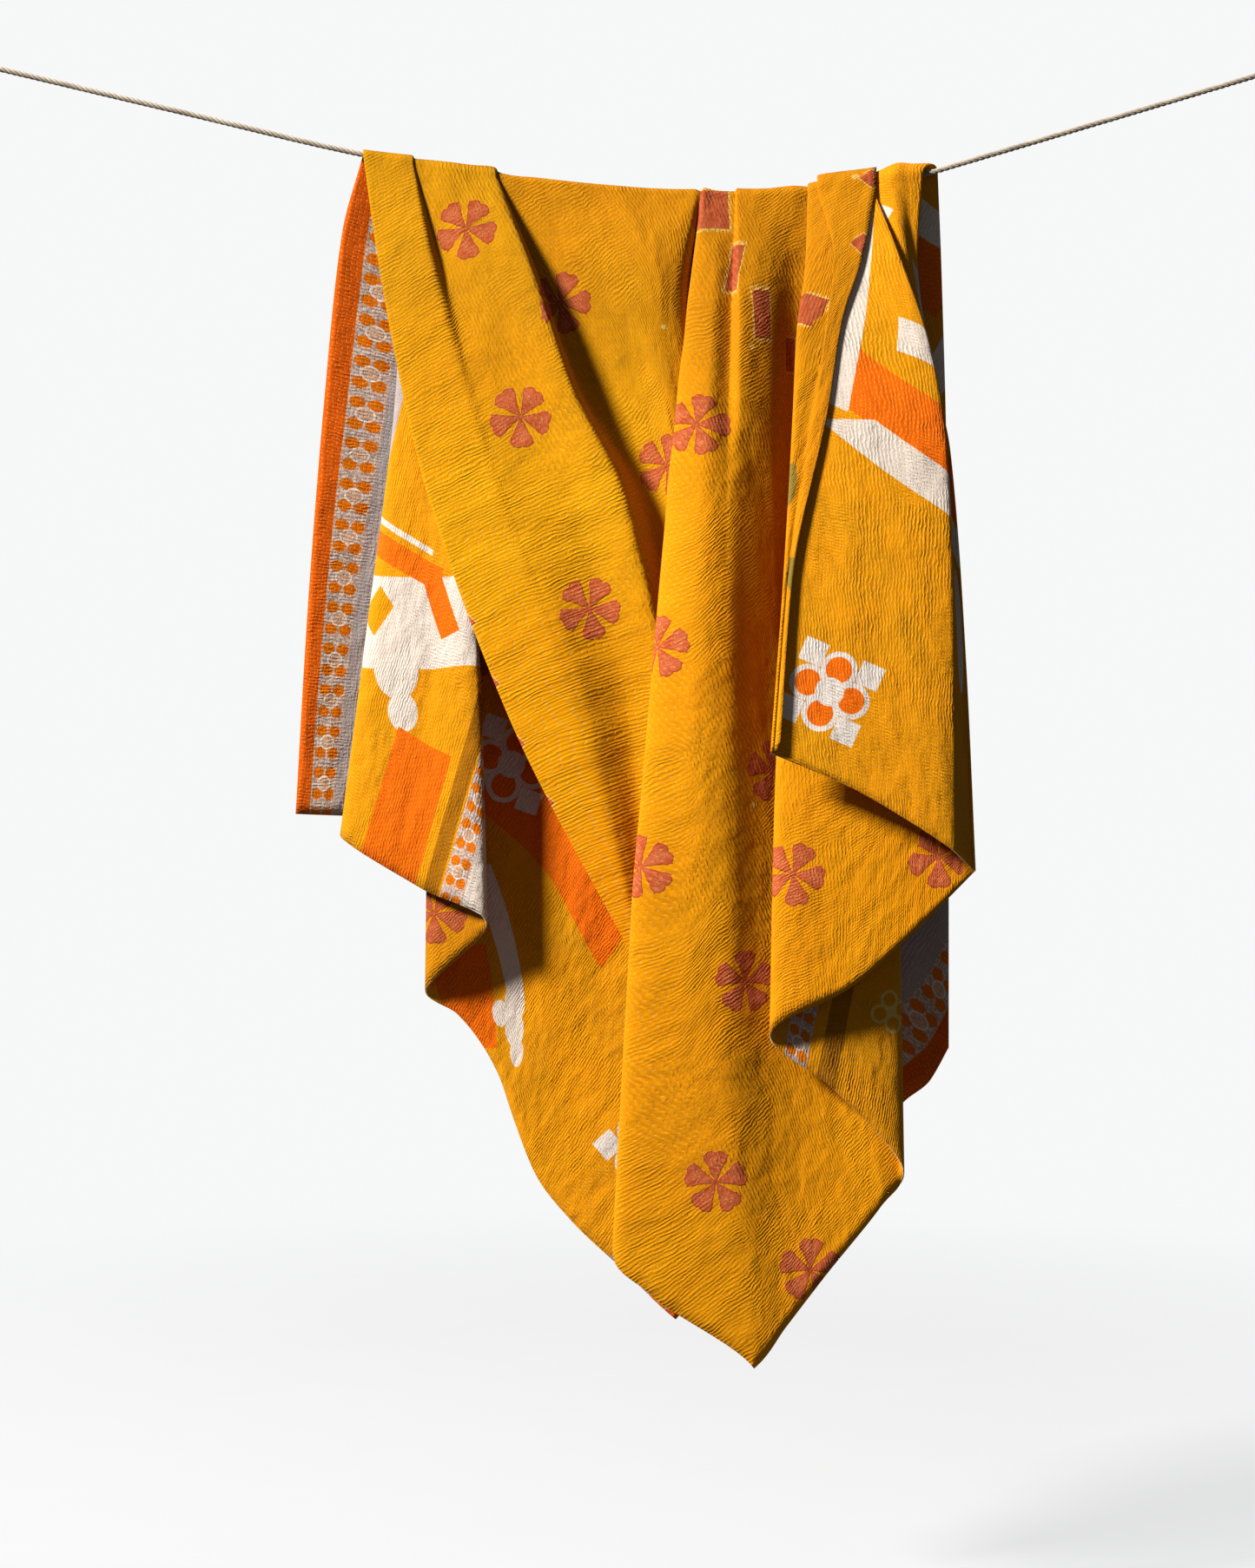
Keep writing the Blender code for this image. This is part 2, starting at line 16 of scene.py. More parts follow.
import bpy
import numpy as np
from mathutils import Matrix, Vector

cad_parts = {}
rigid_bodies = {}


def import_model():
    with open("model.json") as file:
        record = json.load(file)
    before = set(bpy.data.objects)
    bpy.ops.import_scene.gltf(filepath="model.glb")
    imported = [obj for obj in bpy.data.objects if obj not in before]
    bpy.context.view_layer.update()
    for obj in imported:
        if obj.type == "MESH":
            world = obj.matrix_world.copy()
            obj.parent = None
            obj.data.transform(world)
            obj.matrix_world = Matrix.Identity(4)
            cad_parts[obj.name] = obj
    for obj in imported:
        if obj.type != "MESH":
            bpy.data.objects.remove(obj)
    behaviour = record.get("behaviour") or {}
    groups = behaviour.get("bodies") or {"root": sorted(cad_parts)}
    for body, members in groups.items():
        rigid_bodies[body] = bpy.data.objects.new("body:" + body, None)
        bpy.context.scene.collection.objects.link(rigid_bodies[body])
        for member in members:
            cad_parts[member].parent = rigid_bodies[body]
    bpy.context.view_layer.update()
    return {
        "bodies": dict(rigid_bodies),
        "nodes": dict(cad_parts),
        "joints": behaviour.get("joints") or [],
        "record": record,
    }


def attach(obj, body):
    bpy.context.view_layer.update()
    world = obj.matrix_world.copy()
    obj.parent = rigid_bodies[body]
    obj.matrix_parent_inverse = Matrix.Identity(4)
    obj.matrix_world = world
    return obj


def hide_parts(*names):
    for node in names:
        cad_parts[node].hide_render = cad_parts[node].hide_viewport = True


LOG = logging.getLogger("kantha_quilt")

MM = 0.001
RENDER_SIZE = (1445, 1806)

# From the picture's middle on the rope's plane, where the folds are measured, to the row frame
HANG_ORIGIN = np.array([0.706, 0.0, -0.135845])

# A colour in a material: red, green, blue and alpha as light, or a node's output
Paint = tuple | bpy.types.NodeSocket

# The coordinates, in millimetres, of a triangle that no mark reaches
FAR_AWAY = 900.0


class Side(Enum):
    """Which side of the rope the cloth hangs on."""

    FRONT = -1.0
    BACK = 1.0


class Fold(NamedTuple):
    """One line of the cloth, from the front hem over the rope to the back hem, in millimetres.

    rope_x and lift: where it crosses the rope, and its distance from the rope's axis there.
    x and y: its places at the shares of the hang, and z: its lower end. x and z are read on the
    rope's plane, as the viewer sees them, and y is how far behind that plane the cloth is.
    shift: how far to the right it moves on its way over the rope. The turns say how roundly the
    cloth turns there. tuck: the width of cloth that lies hidden in pleats at this fold.
    """

    name: str
    rope_x: float
    lift: float
    front_x: tuple
    front_y: tuple
    front_z: float
    back_x: tuple
    back_y: tuple
    back_z: float
    shift: float = 0.0
    front_turn: float = 0.0
    back_turn: float = 0.0
    rope_turn: float = 0.0
    tuck: float = 0.0


FOLDS = (
    Fold("edge_left", -274, 5.0,
         (-260, -241, -213, -124, 4), (-12, -17, -21, -26, -29), -790,
         (-296, -313, -332, -344), (14, 26, 34, 42), -644),
    Fold("strip_fold", -224, 8.5,
         (-206, -181, -144, -67, 14), (-27, -31, -33, -34, -29), -806,
         (-214, -207, -222, -234), (26, 39, 50, 58), -650, back_turn=-40),
    Fold("strip_valley", -220, 5.5,
         (-190, -162, -123, -37, 20), (-17, -32, -35, -34, -29), -815,
         (-230, -240, -270, -297), (20, 29, 29, 33), -666, back_turn=-40, tuck=40),
    Fold("band_middle", -180, 8.0,
         (-147, -111, -60, 4, 25), (-30, -36, -38, -18, -27), -824,
         (-188, -200, -209, -216), (14, 17, 14, 17), -720),
    Fold("band_ridge", -140, 8.5,
         (-99, -61, -2, 43, 30), (-38, -48, -50, -28, -29), -833,
         (-156, -168, -152, -146), (10, 10, 9, 11), -759, back_turn=50),
    Fold("band_valley", -132, 5.0,
         (-90, -50, 18, 58, 35), (-8, -8, -12, -24, -29), -840,
         (-146, -157, -205, -209), (22, 34, 38, 43), -827, back_turn=50, tuck=70),
    Fold("swell_left", -74, 5.0,
         (-29, 8, 52, 70, 38), (-20, -17, -20, -27, -30), -848,
         (-90, -115, -160, -177), (28, 47, 52, 54), -851),
    Fold("swell_right", 7, 5.0,
         (25, 40, 61, 77, 42), (-32, -30, -29, -30, -31), -854,
         (-12, -47, -110, -153), (30, 49, 57, 59), -880),
    Fold("panel_edge", 69, 6.5,
         (54, 58, 70, 86, 47), (-26, -29, -30, -31, -32), -860,
         (48, 12, -65, -133), (26, 41, 56, 60), -916),
    Fold("pleat_valley", 75, 4.8,
         (68, 78, 90, 99, 55), (-6, -24, -42, -42, -41), -876,
         (60, 34, -36, -117), (22, 37, 53, 59), -963, front_turn=-12, tuck=90),
    Fold("centre_left", 80, 8.0,
         (60, 46, 31, 4, -15), (-30, -48, -61, -68, -69), -1096,
         (76, 61, -6, -94), (30, 51, 57, 59), -1020, front_turn=-25),
    Fold("centre_ridge", 94, 5.5,
         (87, 77, 67, 56, 27), (-40, -65, -79, -77, -74), -1145,
         (90, 77, 25, -58), (32, 53, 57, 56), -1066),
    Fold("front_corner", 111, 4.8,
         (107, 103, 102, 104, 131), (-32, -62, -76, -75, -71), -1219,
         (108, 99, 65, -4), (30, 48, 55, 53), -1117),
    Fold("back_corner", 114, 8.0,
         (117, 121, 126, 142, 165), (-43, -54, -59, -57, -65), -1175,
         (114, 112, 88, 50), (28, 44, 51, 48), -1168),
    Fold("centre_slope", 143, 7.0,
         (146, 148, 154, 183, 205), (-32, -36, -38, -42, -60), -1123,
         (143, 142, 131, 126), (24, 38, 46, 46), -1096),
    Fold("centre_valley", 170, 8.0,
         (174, 178, 185, 228, 262), (-11, -12, -15, -28, -54), -1052,
         (172, 173, 176, 196), (20, 32, 42, 44), -1029),
    Fold("centre_right", 192, 5.0,
         (204, 228, 255, 280, 286), (-13, -22, -30, -39, -53), -1015,
         (200, 210, 228, 250), (18, 29, 40, 43), -978, front_turn=-40),
    Fold("return_middle", 199, 5.0,
         (206, 211, 214, 217, 214), (-16, -31, -44, -60, -71), -930,
         (208, 223, 250, 271), (16, 27, 38, 42), -958, tuck=110),
    Fold("lower_left", 206, 5.0,
         (208, 194, 174, 154, 148), (-19, -38, -55, -76, -84), -874,
         (216, 237, 270, 289), (15, 26, 37, 42), -940, front_turn=-50),
    Fold("panel_middle", 260, 5.8,
         (252, 250, 255, 250, 233), (-22, -41, -60, -84, -92), -823,
         (268, 284, 304, 312), (17, 28, 38, 45), -922),
    Fold("right_side", 306, 8.0,
         (300, 311, 334, 350, 360), (-24, -45, -62, -85, -93), -703,
         (325, 330, 332, 332), (20, 31, 40, 47), -886,
         shift=15, front_turn=-28, back_turn=14, rope_turn=9),
    Fold("hood_fold", 288, 13.5,
         (296, 309, 331, 348, 357), (-28, -48, -66, -89, -97), -701,
         (316, 324, 330, 331), (26, 35, 43, 49), -884, shift=13),
    Fold("hood_ridge", 273, 17.0,
         (289, 305, 328, 346, 354), (-40, -54, -70, -94, -102), -698,
         (307, 318, 327, 329), (30, 39, 46, 51), -882, shift=11),
    Fold("hood_under", 241, 8.4,
         (264, 294, 321, 343, 349), (-35, -60, -77, -102, -110), -693,
         (280, 306, 320, 327), (33, 43, 48, 53), -879, shift=9,
         front_turn=-14, rope_turn=8, tuck=100),
    Fold("flap_edge", 252, 13.2,
         (285, 314, 331, 338, 339), (-52, -76, -94, -119, -127), -683,
         (276, 297, 316, 325), (36, 47, 51, 56), -876, shift=6,
         front_turn=-24, rope_turn=10),
    Fold("flap_middle", 226, 9.0,
         (236, 246, 250, 241, 236), (-46, -74, -96, -120, -128), -619,
         (246, 270, 306, 322), (40, 52, 53, 58), -872),
    Fold("upper_left", 187, 8.3,
         (185, 176, 172, 162, 149), (-46, -75, -94, -119, -129), -581,
         (208, 238, 289, 321), (44, 58, 59, 62), -868,
         front_turn=-24, back_turn=14, rope_turn=8),
    Fold("sliver_valley", 213, 12.0,
         (218, 206, 190, 166, 152), (-48.5, -75, -95, -120.5, -131), -579,
         (218, 245, 295, 320), (47, 62, 65, 67), -862, rope_turn=8, tuck=72),
    Fold("sliver_edge", 197, 16.0,
         (214, 206, 196, 169, 155), (-51.5, -77.5, -97.5, -123, -133.5), -577,
         (224, 252, 300, 320), (50, 66, 69, 71), -855, rope_turn=8),
    Fold("edge_right", 258, 16.5,
         (245, 222, 208, 171, 158), (-49, -74.5, -96.5, -123, -133.5), -574,
         (262, 292, 313, 319), (53, 70, 73, 75), -848),
)

# The quilt's corner comes down on this fold, in front of the rope and behind it
CORNERS = {Side.FRONT: "front_corner", Side.BACK: "back_corner"}

# Where along the hang, from the rope to the hem, a fold's positions are given
FRONT_SHARES = (0.12, 0.25, 0.4, 0.7, 1.0)
BACK_SHARES = (0.12, 0.35, 0.7, 1.0)

# Heights of the rope's axis in millimetres: pulled down by the cloth, and its two free ends
ROPE_LINE = (
    (-656.0, 129.5),
    (-460.0, 83.0),
    (-274.0, 39.5),
    (-220.0, 29.5),
    (-141.0, 17.0),
    (-74.0, 8.0),
    (-20.0, 2.7),
    (63.0, -3.0),
    (115.0, -3.8),
    (173.0, -1.0),
    (228.0, 5.5),
    (268.0, 11.5),
    (309.0, 19.5),
    (340.0, 28.5),
    (500.0, 76.0),
    (656.0, 122.6),
)


class Ink(Enum):
    """The dyes of the second face, and a grey of painted shade, as red, green and blue from 0 to 255."""

    GROUND = (198, 126, 2)
    ORANGE = (206, 92, 0)
    PALE = (194, 180, 168)
    OCHRE = (142, 88, 2)
    # painted shade: white cloth drawn grey as it looks in shadow
    WHITE_IN_PAINTED_SHADE = (148, 138, 136)


class Figure(Enum):
    """What a printed figure on the second face looks like."""

    BLOCK = "block"
    ARC = "arc"
    DISC = "disc"


class Mark(NamedTuple):
    """A motif: its centre on the flat cloth and its half sizes in millimetres, and its turn."""

    u: float
    v: float
    half_width: float
    half_height: float
    turn: float = 0.0
    kind: float = 0.0


class Print(NamedTuple):
    """A printed figure on the second face, in millimetres of flat cloth, turned by degrees.

    A block and a disc have their two half sizes. An arc has its radius and its half width, and
    runs where its own y is above reach times the radius.
    """

    figure: Figure
    ink: Ink
    u: float
    v: float
    size: float
    half_width: float
    turn: float = 0.0
    reach: float = 0.0


class Border(NamedTuple):
    """A strip of round flowers that runs along the cloth, in millimetres of flat cloth."""

    u: float
    start: float
    end: float


class Crease(NamedTuple):
    """A soft trough or ridge on the cloth, in millimetres: its two ends, width and height."""

    u_start: float
    v_start: float
    u_end: float
    v_end: float
    half_width: float
    height: float


# Five-petal flowers of the first face, all of one size: their centres and turns
FLOWER_HALF = 33
FLOWERS = tuple(
    Mark(u, v, FLOWER_HALF, FLOWER_HALF, turn) for u, v, turn in (
        (97, 1232, 61), (65, 1039, 57), (178, 1107, 73), (44, 837, 64), (170, 924, 74),
        (368, 853, 5), (262, 675, 16), (169, 494, 33), (175, 328, 18), (67, 180, 19),
        (115, 22, 16), (292, 487, 20), (567, 155, 64), (755, 60, 55), (525, 2013, 54),
        (470, 1290, 50), (700, 1180, 61), (930, 1090, 20), (300, 1420, 58), (160, 1560, 49),
        (520, 1530, 66), (380, 1700, 12), (640, 1690, 57), (240, 1850, 62), (760, 1850, 15),
        (860, 1560, 53), (1010, 1400, 7), (980, 1740, 60), (900, 1970, 51), (1040, 900, 16),
    )
)

# Patches sewn on the first face. Kinds: 0 a block, 1 a lozenge, 2 a leaf, 3 a pale sprig
PATCHES = (
    Mark(465, 1044, 17, 21, 0, 0),
    Mark(461, 973, 7, 24, 2, 0),
    Mark(467, 909, 9, 25, 0, 0),
    Mark(485, 850, 6, 17, 0, 0),
    Mark(1024, 533, 15, 17, -10, 0),
    Mark(1116, 619, 13, 11, 5, 1),
    Mark(1116, 538, 13, 12, -5, 1),
    Mark(1102, 631, 6, 4, 20, 3),
    Mark(1052, 318, 8, 24, 10, 2),
    Mark(1103, 188, 7, 18, 5, 2),
    Mark(443, 884, 5, 3, 0, 3),
    Mark(286, 1020, 5, 3, 0, 3),
    Mark(255, 475, 4, 4, 0, 3),
)

# Small triangles with their base on the left edge
EDGE_CORNERS = tuple(Mark(-1, 671 + 67.5 * count, 8, 8, 0, 1) for count in range(4))

# White flowers of the second face. Kind 1 is a small one of thin rings about a disc
ROSETTES = (
    Mark(1024, 99, 50, 50, -24),
    Mark(555, 1792, 50, 50, -20),
    Mark(965, 1963, 50, 50, -49),
    Mark(354, 139, 26, 26, 8, 1),
    Mark(640, 1300, 50, 50, 30),
    Mark(820, 1560, 50, 50, 5),
)

# Strips of round flowers on the second face
BORDERS = (
    Border(32, -50, 2200),
    Border(1088, 1250, 2200),
    Border(392, 1850, 2200),
    Border(467, -50, 170),
)

# The second face's broad bands, blocks and discs, each laid over those before it
PRINTS = (
    # painted shade: these two grey blocks are white bands beside the borders, drawn grey as in shadow
    Print(Figure.BLOCK, Ink.WHITE_IN_PAINTED_SHADE, 92, 1040, 46, 1200),
    Print(Figure.BLOCK, Ink.WHITE_IN_PAINTED_SHADE, 1040, 1700, 34, 450),
    Print(Figure.BLOCK, Ink.PALE, 430, 1990, 24, 150),
    Print(Figure.BLOCK, Ink.OCHRE, 364, 1990, 10, 150),
    Print(Figure.BLOCK, Ink.OCHRE, 424, 85, 13, 90),
    Print(Figure.ARC, Ink.ORANGE, 860, 606, 170, 36, 180, 0.35),
    Print(Figure.ARC, Ink.PALE, 846, 590, 215, 23, 160, 0.5),
    Print(Figure.BLOCK, Ink.PALE, 968, 627, 190, 30, 103),
    Print(Figure.BLOCK, Ink.PALE, 838, 770, 34, 24, 128),
    Print(Figure.BLOCK, Ink.PALE, 775, 697, 12, 34, 0),
    Print(Figure.BLOCK, Ink.PALE, 908, 545, 20, 22, 10),
    Print(Figure.DISC, Ink.PALE, 836, 262, 24, 75, 9),
    Print(Figure.BLOCK, Ink.PALE, 778, 935, 26, 15, 20),
    Print(Figure.BLOCK, Ink.ORANGE, 794, 975, 30, 25, 15),
    Print(Figure.BLOCK, Ink.PALE, 838, 1062, 14, 60, 8),
    Print(Figure.BLOCK, Ink.PALE, 250, 1806, 96, 50, -27),
    Print(Figure.BLOCK, Ink.PALE, 187, 1728, 58, 3.5, -6),
    Print(Figure.BLOCK, Ink.ORANGE, 201, 1752, 66, 14, -6),
    Print(Figure.BLOCK, Ink.ORANGE, 272, 1770, 38, 15, 47),
    Print(Figure.BLOCK, Ink.GROUND, 187, 1824, 15, 24, 20),
    Print(Figure.DISC, Ink.PALE, 236, 1868, 34, 34),
    Print(Figure.DISC, Ink.PALE, 262, 1908, 22, 22),
    Print(Figure.BLOCK, Ink.ORANGE, 302, 2010, 40, 84, 0),
    Print(Figure.BLOCK, Ink.ORANGE, 657, 1822, 125, 38, 0),
    Print(Figure.BLOCK, Ink.ORANGE, 640, 2052, 55, 40, 45),
    Print(Figure.BLOCK, Ink.PALE, 642, 1958, 74, 15, 35),
    Print(Figure.DISC, Ink.PALE, 700, 2003, 18, 18),
    Print(Figure.DISC, Ink.PALE, 718, 2022, 19, 19),
    Print(Figure.DISC, Ink.PALE, 738, 2034, 15, 15),
    Print(Figure.DISC, Ink.PALE, 688, 2030, 14, 14),
    Print(Figure.ARC, Ink.PALE, 560, 1480, 110, 22, 200, 0.2),
    Print(Figure.ARC, Ink.ORANGE, 950, 1330, 120, 34, 150, 0.2),
    Print(Figure.BLOCK, Ink.OCHRE, 500, 1640, 12, 90, 20),
)

# Pressed creases of both faces
CREASES = (
    Crease(60, 1360, 40, 900, 9, -1.2),
    Crease(150, 1350, 120, 1000, 11, 1.4),
    Crease(230, 1300, 215, 960, 12, -1.4),
    Crease(300, 1180, 330, 760, 14, 1.5),
    Crease(390, 1120, 400, 700, 12, -1.2),
    Crease(210, 760, 120, 300, 14, 1.2),
    Crease(330, 620, 250, 250, 12, -1.2),
    Crease(620, 520, 640, 120, 12, 1.2),
    Crease(700, 560, 690, 150, 10, -1.2),
    Crease(900, 360, 880, 60, 12, 1.2),
    Crease(980, 420, 1010, 40, 10, -1.0),
    Crease(300, 1990, 250, 1500, 12, 1.2),
    Crease(60, 1990, 50, 1500, 10, 0.8),
    Crease(650, 1990, 520, 1400, 16, 1.5),
    Crease(820, 1880, 700, 1300, 16, -1.5),
    Crease(980, 1800, 860, 1200, 14, 1.4),
)


def steady_slopes(places: np.ndarray, values: np.ndarray) -> np.ndarray:
    """Slopes of a curve through values that never swings past them: harmonic means of the rises.

    Args:
        places: where the values stand, rising.
        values: the values, along the first axis.

    Returns:
        One slope for each value.
    """
    widths = np.diff(places)
    rises = np.diff(values, axis=0) / widths.reshape(-1, *[1] * (values.ndim - 1))
    slopes = np.zeros_like(values)
    slopes[0], slopes[-1] = rises[0], rises[-1]
    before, after = rises[:-1], rises[1:]
    same_way = before * after > 0
    total = np.where(same_way, before + after, 1.0)
    slopes[1:-1] = np.where(same_way, 2 * before * after / total, 0.0)
    return slopes


def swinging_slopes(places: np.ndarray, values: np.ndarray) -> np.ndarray:
    """Slopes of a curve through values, each along the line between its two neighbours.

    Args:
        places: where the values stand, rising.
        values: the values, along the first axis.

    Returns:
        One slope for each value.
    """
    slopes = np.zeros_like(values)
    spans = (places[2:] - places[:-2]).reshape(-1, *[1] * (values.ndim - 1))
    slopes[1:-1] = (values[2:] - values[:-2]) / spans
    slopes[0] = (values[1] - values[0]) / (places[1] - places[0])
    slopes[-1] = (values[-1] - values[-2]) / (places[-1] - places[-2])
    return slopes


def curve_at(places: np.ndarray, values: np.ndarray, slopes: np.ndarray, where: np.ndarray,
             arriving: np.ndarray | None = None) -> np.ndarray:
    """The piecewise cubic with those values and slopes at places, read at where.

    Args:
        places: where the values stand, rising.
        values: the values, along the first axis.
        slopes: the slope with which the curve leaves each place.
        where: the places to read.
        arriving: the slope with which it comes to each place, where it turns sharply there.

    Returns:
        The curve's values at where.
    """
    arriving = slopes if arriving is None else arriving
    index = np.clip(np.searchsorted(places, where, side="right") - 1, 0, len(places) - 2)
    width = (places[index + 1] - places[index]).reshape(-1, *[1] * (values.ndim - 1))
    share = (where - places[index]).reshape(width.shape) / width
    start, end = values[index], values[index + 1]
    leave, arrive = slopes[index] * width, arriving[index + 1] * width
    return (
        (2 * share**3 - 3 * share**2 + 1) * start
        + (share**3 - 2 * share**2 + share) * leave
        + (3 * share**2 - 2 * share**3) * end
        + (share**3 - share**2) * arrive
    )


def rope_height(x: np.ndarray) -> np.ndarray:
    """Height of the rope's axis: a curve through its listed heights that never swings past them.

    Args:
        x: places along the rope in millimetres.

    Returns:
        The heights in millimetres.
    """
    places, heights = np.array(ROPE_LINE).T
    slopes = steady_slopes(places, heights)
    return curve_at(places, heights, slopes, np.ravel(x)).reshape(np.shape(x))


def smooth_step(x: np.ndarray) -> np.ndarray:
    """0 below 0, 1 above 1, and 3x2 - 2x3 between."""
    x = np.clip(x, 0.0, 1.0)
    return x * x * (3 - 2 * x)


def running_length(line: np.ndarray) -> np.ndarray:
    """Length along a row of points, from its first one."""
    steps = np.linalg.norm(np.diff(line, axis=0), axis=-1)
    return np.concatenate([np.zeros((1, *steps.shape[1:])), np.cumsum(steps, axis=0)])


def unit(vectors: np.ndarray) -> np.ndarray:
    """The same directions with length 1."""
    return vectors / np.maximum(np.linalg.norm(vectors, axis=-1, keepdims=True), 1e-12)


def new_piece(name: str, points: np.ndarray, faces: np.ndarray) -> bpy.types.Object:
    """A mesh object at the origin, smooth, in the scene.

    Args:
        name: the piece's name.
        points: its vertices in metres, in the row frame.
        faces: its faces as rows of vertex numbers.

    Returns:
        The new object.
    """
    mesh = bpy.data.meshes.new(name)
    mesh.from_pydata(points.tolist(), [], faces.tolist())
    mesh.validate()
    mesh.shade_smooth()
    piece = bpy.data.objects.new(name, mesh)
    bpy.context.scene.collection.objects.link(piece)
    return piece


def lift_slopes(lift: np.ndarray) -> np.ndarray:
    """Slopes of the cloth's distance from the rope's axis: a fold's own turn, or no swing.

    Args:
        lift: each fold's distance in millimetres.

    Returns:
        One slope for each fold.
    """
    turns = np.array([fold.rope_turn for fold in FOLDS])
    steady = steady_slopes(np.arange(len(FOLDS), dtype=float), lift)
    return np.where(turns != 0, turns, steady)


def linear(ink: tuple) -> tuple:
    """A colour of 0 to 255 a channel as light: each channel's share to the power of 2.2."""
    return (*(max(channel / 255, 0.0) ** 2.2 for channel in ink), 1.0)


@dataclass
class ClothGrid:
    """The quilt's middle surface as rows and columns of points, and its flat coordinates.

    A column follows one place among the folds, from the front hem over the rope to the back hem.
    The flat coordinates u and v run from the front corner: u along the front hem and v along the
    left edge. The rope lies on a straight line across the flat cloth.
    """

    width: float = 1120.0
    length: float = 2080.0
    view_distance: float = 3200.0
    eye_height: float = -613.0
    step_across: float = 5.6
    fewest_steps: int = 6
    most_steps: int = 11
    front_rows: int = 90
    back_rows: int = 72
    crest_steps: int = 12
    even_rows: float = 0.55
    crowded_rows: float = 0.45
    crowding: float = 1.7
    pleats_open: float = 0.3
    pleat_spreads: tuple = (0.6, 3.6)
    places: np.ndarray = field(init=False)
    points: np.ndarray = field(init=False)
    flat: np.ndarray = field(init=False)

    def __post_init__(self) -> None:
        """Works out the columns, then the surface, then its flat coordinates."""
        self.places = self.column_places()
        front = self.hang(Side.FRONT)
        back = self.hang(Side.BACK)
        self.points = np.concatenate([front[::-1], self.crest(), back])
        self.flat = self.flat_coordinates()

    def column_places(self) -> np.ndarray:
        """Places of the columns among the folds, in steps of about the same width.

        Returns:
            The places, counted in folds, closer together beside each fold than between two.
        """
        low = np.array([[f.front_x[2], f.front_y[2]] for f in FOLDS], float)
        end = np.array([[f.front_x[4], f.front_z] for f in FOLDS], float)
        rear = np.array([[f.back_x[3], f.back_z] for f in FOLDS], float)
        gaps = [np.linalg.norm(np.diff(part, axis=0), axis=1) for part in (low, end, rear)]
        steps = np.ceil(np.max(gaps, axis=0) / self.step_across)
        counts = np.clip(steps, self.fewest_steps, self.most_steps).astype(int)
        spans = []
        for start, count in enumerate(counts):
            share = np.arange(count) / count
            spans.append(start + 0.5 * share + 0.25 * (1 - np.cos(np.pi * share)))
        return np.concatenate([*spans, [len(FOLDS) - 1.0]])

    def row_shares(self, side: Side) -> np.ndarray:
        """Shares of the hang at which the rows lie: a sum of even steps and a power of them.

        Args:
            side: in front of the rope or behind it.

        Returns:
            The shares, the first one just off the rope and the last one 1.
        """
        count = self.front_rows if side is Side.FRONT else self.back_rows
        even = np.arange(1, count + 1) / count
        return self.even_rows * even + self.crowded_rows * even**self.crowding

    def hang(self, side: Side) -> np.ndarray:
        """Points of the cloth on one side of the rope.

        Across the folds x and the hem's height follow curves that never pass a fold, and y leaves
        each turned fold straight. Down each column x and y follow curves through the shares.

        Args:
            side: in front of the rope or behind it.

        Returns:
            The points, from the row below the rope to the hem.
        """
        front = side is Side.FRONT
        counts = np.arange(len(FOLDS), dtype=float)
        behind = 0.0 if front else 1.0
        x = np.array([[f.rope_x + behind * f.shift, *(f.front_x if front else f.back_x)] for f in FOLDS])
        y = np.array([[side.value * f.lift, *(f.front_y if front else f.back_y)] for f in FOLDS])
        low = np.array([f.front_z if front else f.back_z for f in FOLDS], float)
        turned = np.array([f.front_turn if front else f.back_turn for f in FOLDS])
        stations = np.array([0.0, *(FRONT_SHARES if front else BACK_SHARES)])
        strength = np.sqrt(stations)
        y_slopes = swinging_slopes(counts, y)
        y_slopes = np.where(
            (turned != 0)[:, None], turned[:, None] * strength + y_slopes * (1 - strength), y_slopes
        )
        y_slopes[:, 0] = side.value * lift_slopes(np.array([f.lift for f in FOLDS]))
        x_across = curve_at(counts, x, steady_slopes(counts, x), self.places)
        y_across = curve_at(counts, y, y_slopes, self.places)
        leave = steady_slopes(counts, low)
        arrive = leave.copy()
        corner = [fold.name for fold in FOLDS].index(CORNERS[side])
        leave[corner], arrive[corner] = low[corner + 1] - low[corner], low[corner] - low[corner - 1]
        ends = curve_at(counts, low, leave, self.places, arrive)
        top = rope_height(x_across[:, 0])
        drops = self.row_shares(side)
        down = curve_at(stations, x_across.T, steady_slopes(stations, x_across.T), drops)
        depth = curve_at(stations, y_across.T, steady_slopes(stations, y_across.T), drops)
        return self.seen_at(down, depth, top + (ends - top) * drops[:, None])

    def crest(self) -> np.ndarray:
        """Points of the cloth over the rope: half turns about its axis, from the front to the back.

        Returns:
            The points, in rows of which the first is on the front of the rope.
        """
        counts = np.arange(len(FOLDS), dtype=float)
        x = np.array([f.rope_x for f in FOLDS], float)
        behind = x + np.array([f.shift for f in FOLDS])
        lift = np.array([f.lift for f in FOLDS], float)
        x = curve_at(counts, x, steady_slopes(counts, x), self.places)
        behind = curve_at(counts, behind, steady_slopes(counts, behind), self.places)
        lift = curve_at(counts, lift, lift_slopes(lift), self.places)
        angles = np.linspace(np.pi, 0.0, self.crest_steps + 1)[:, None]
        x = x + (behind - x) * (1 + np.cos(angles)) / 2
        return self.seen_at(x, lift * np.cos(angles), rope_height(x) + lift * np.sin(angles))

    def seen_at(self, x: np.ndarray, y: np.ndarray, z: np.ndarray) -> np.ndarray:
        """Points whose x and z are read on the rope's plane, moved along the viewer's rays to y."""
        nearer = 1 + y / self.view_distance
        return np.stack([x * nearer, y, self.eye_height + (z - self.eye_height) * nearer], axis=-1)

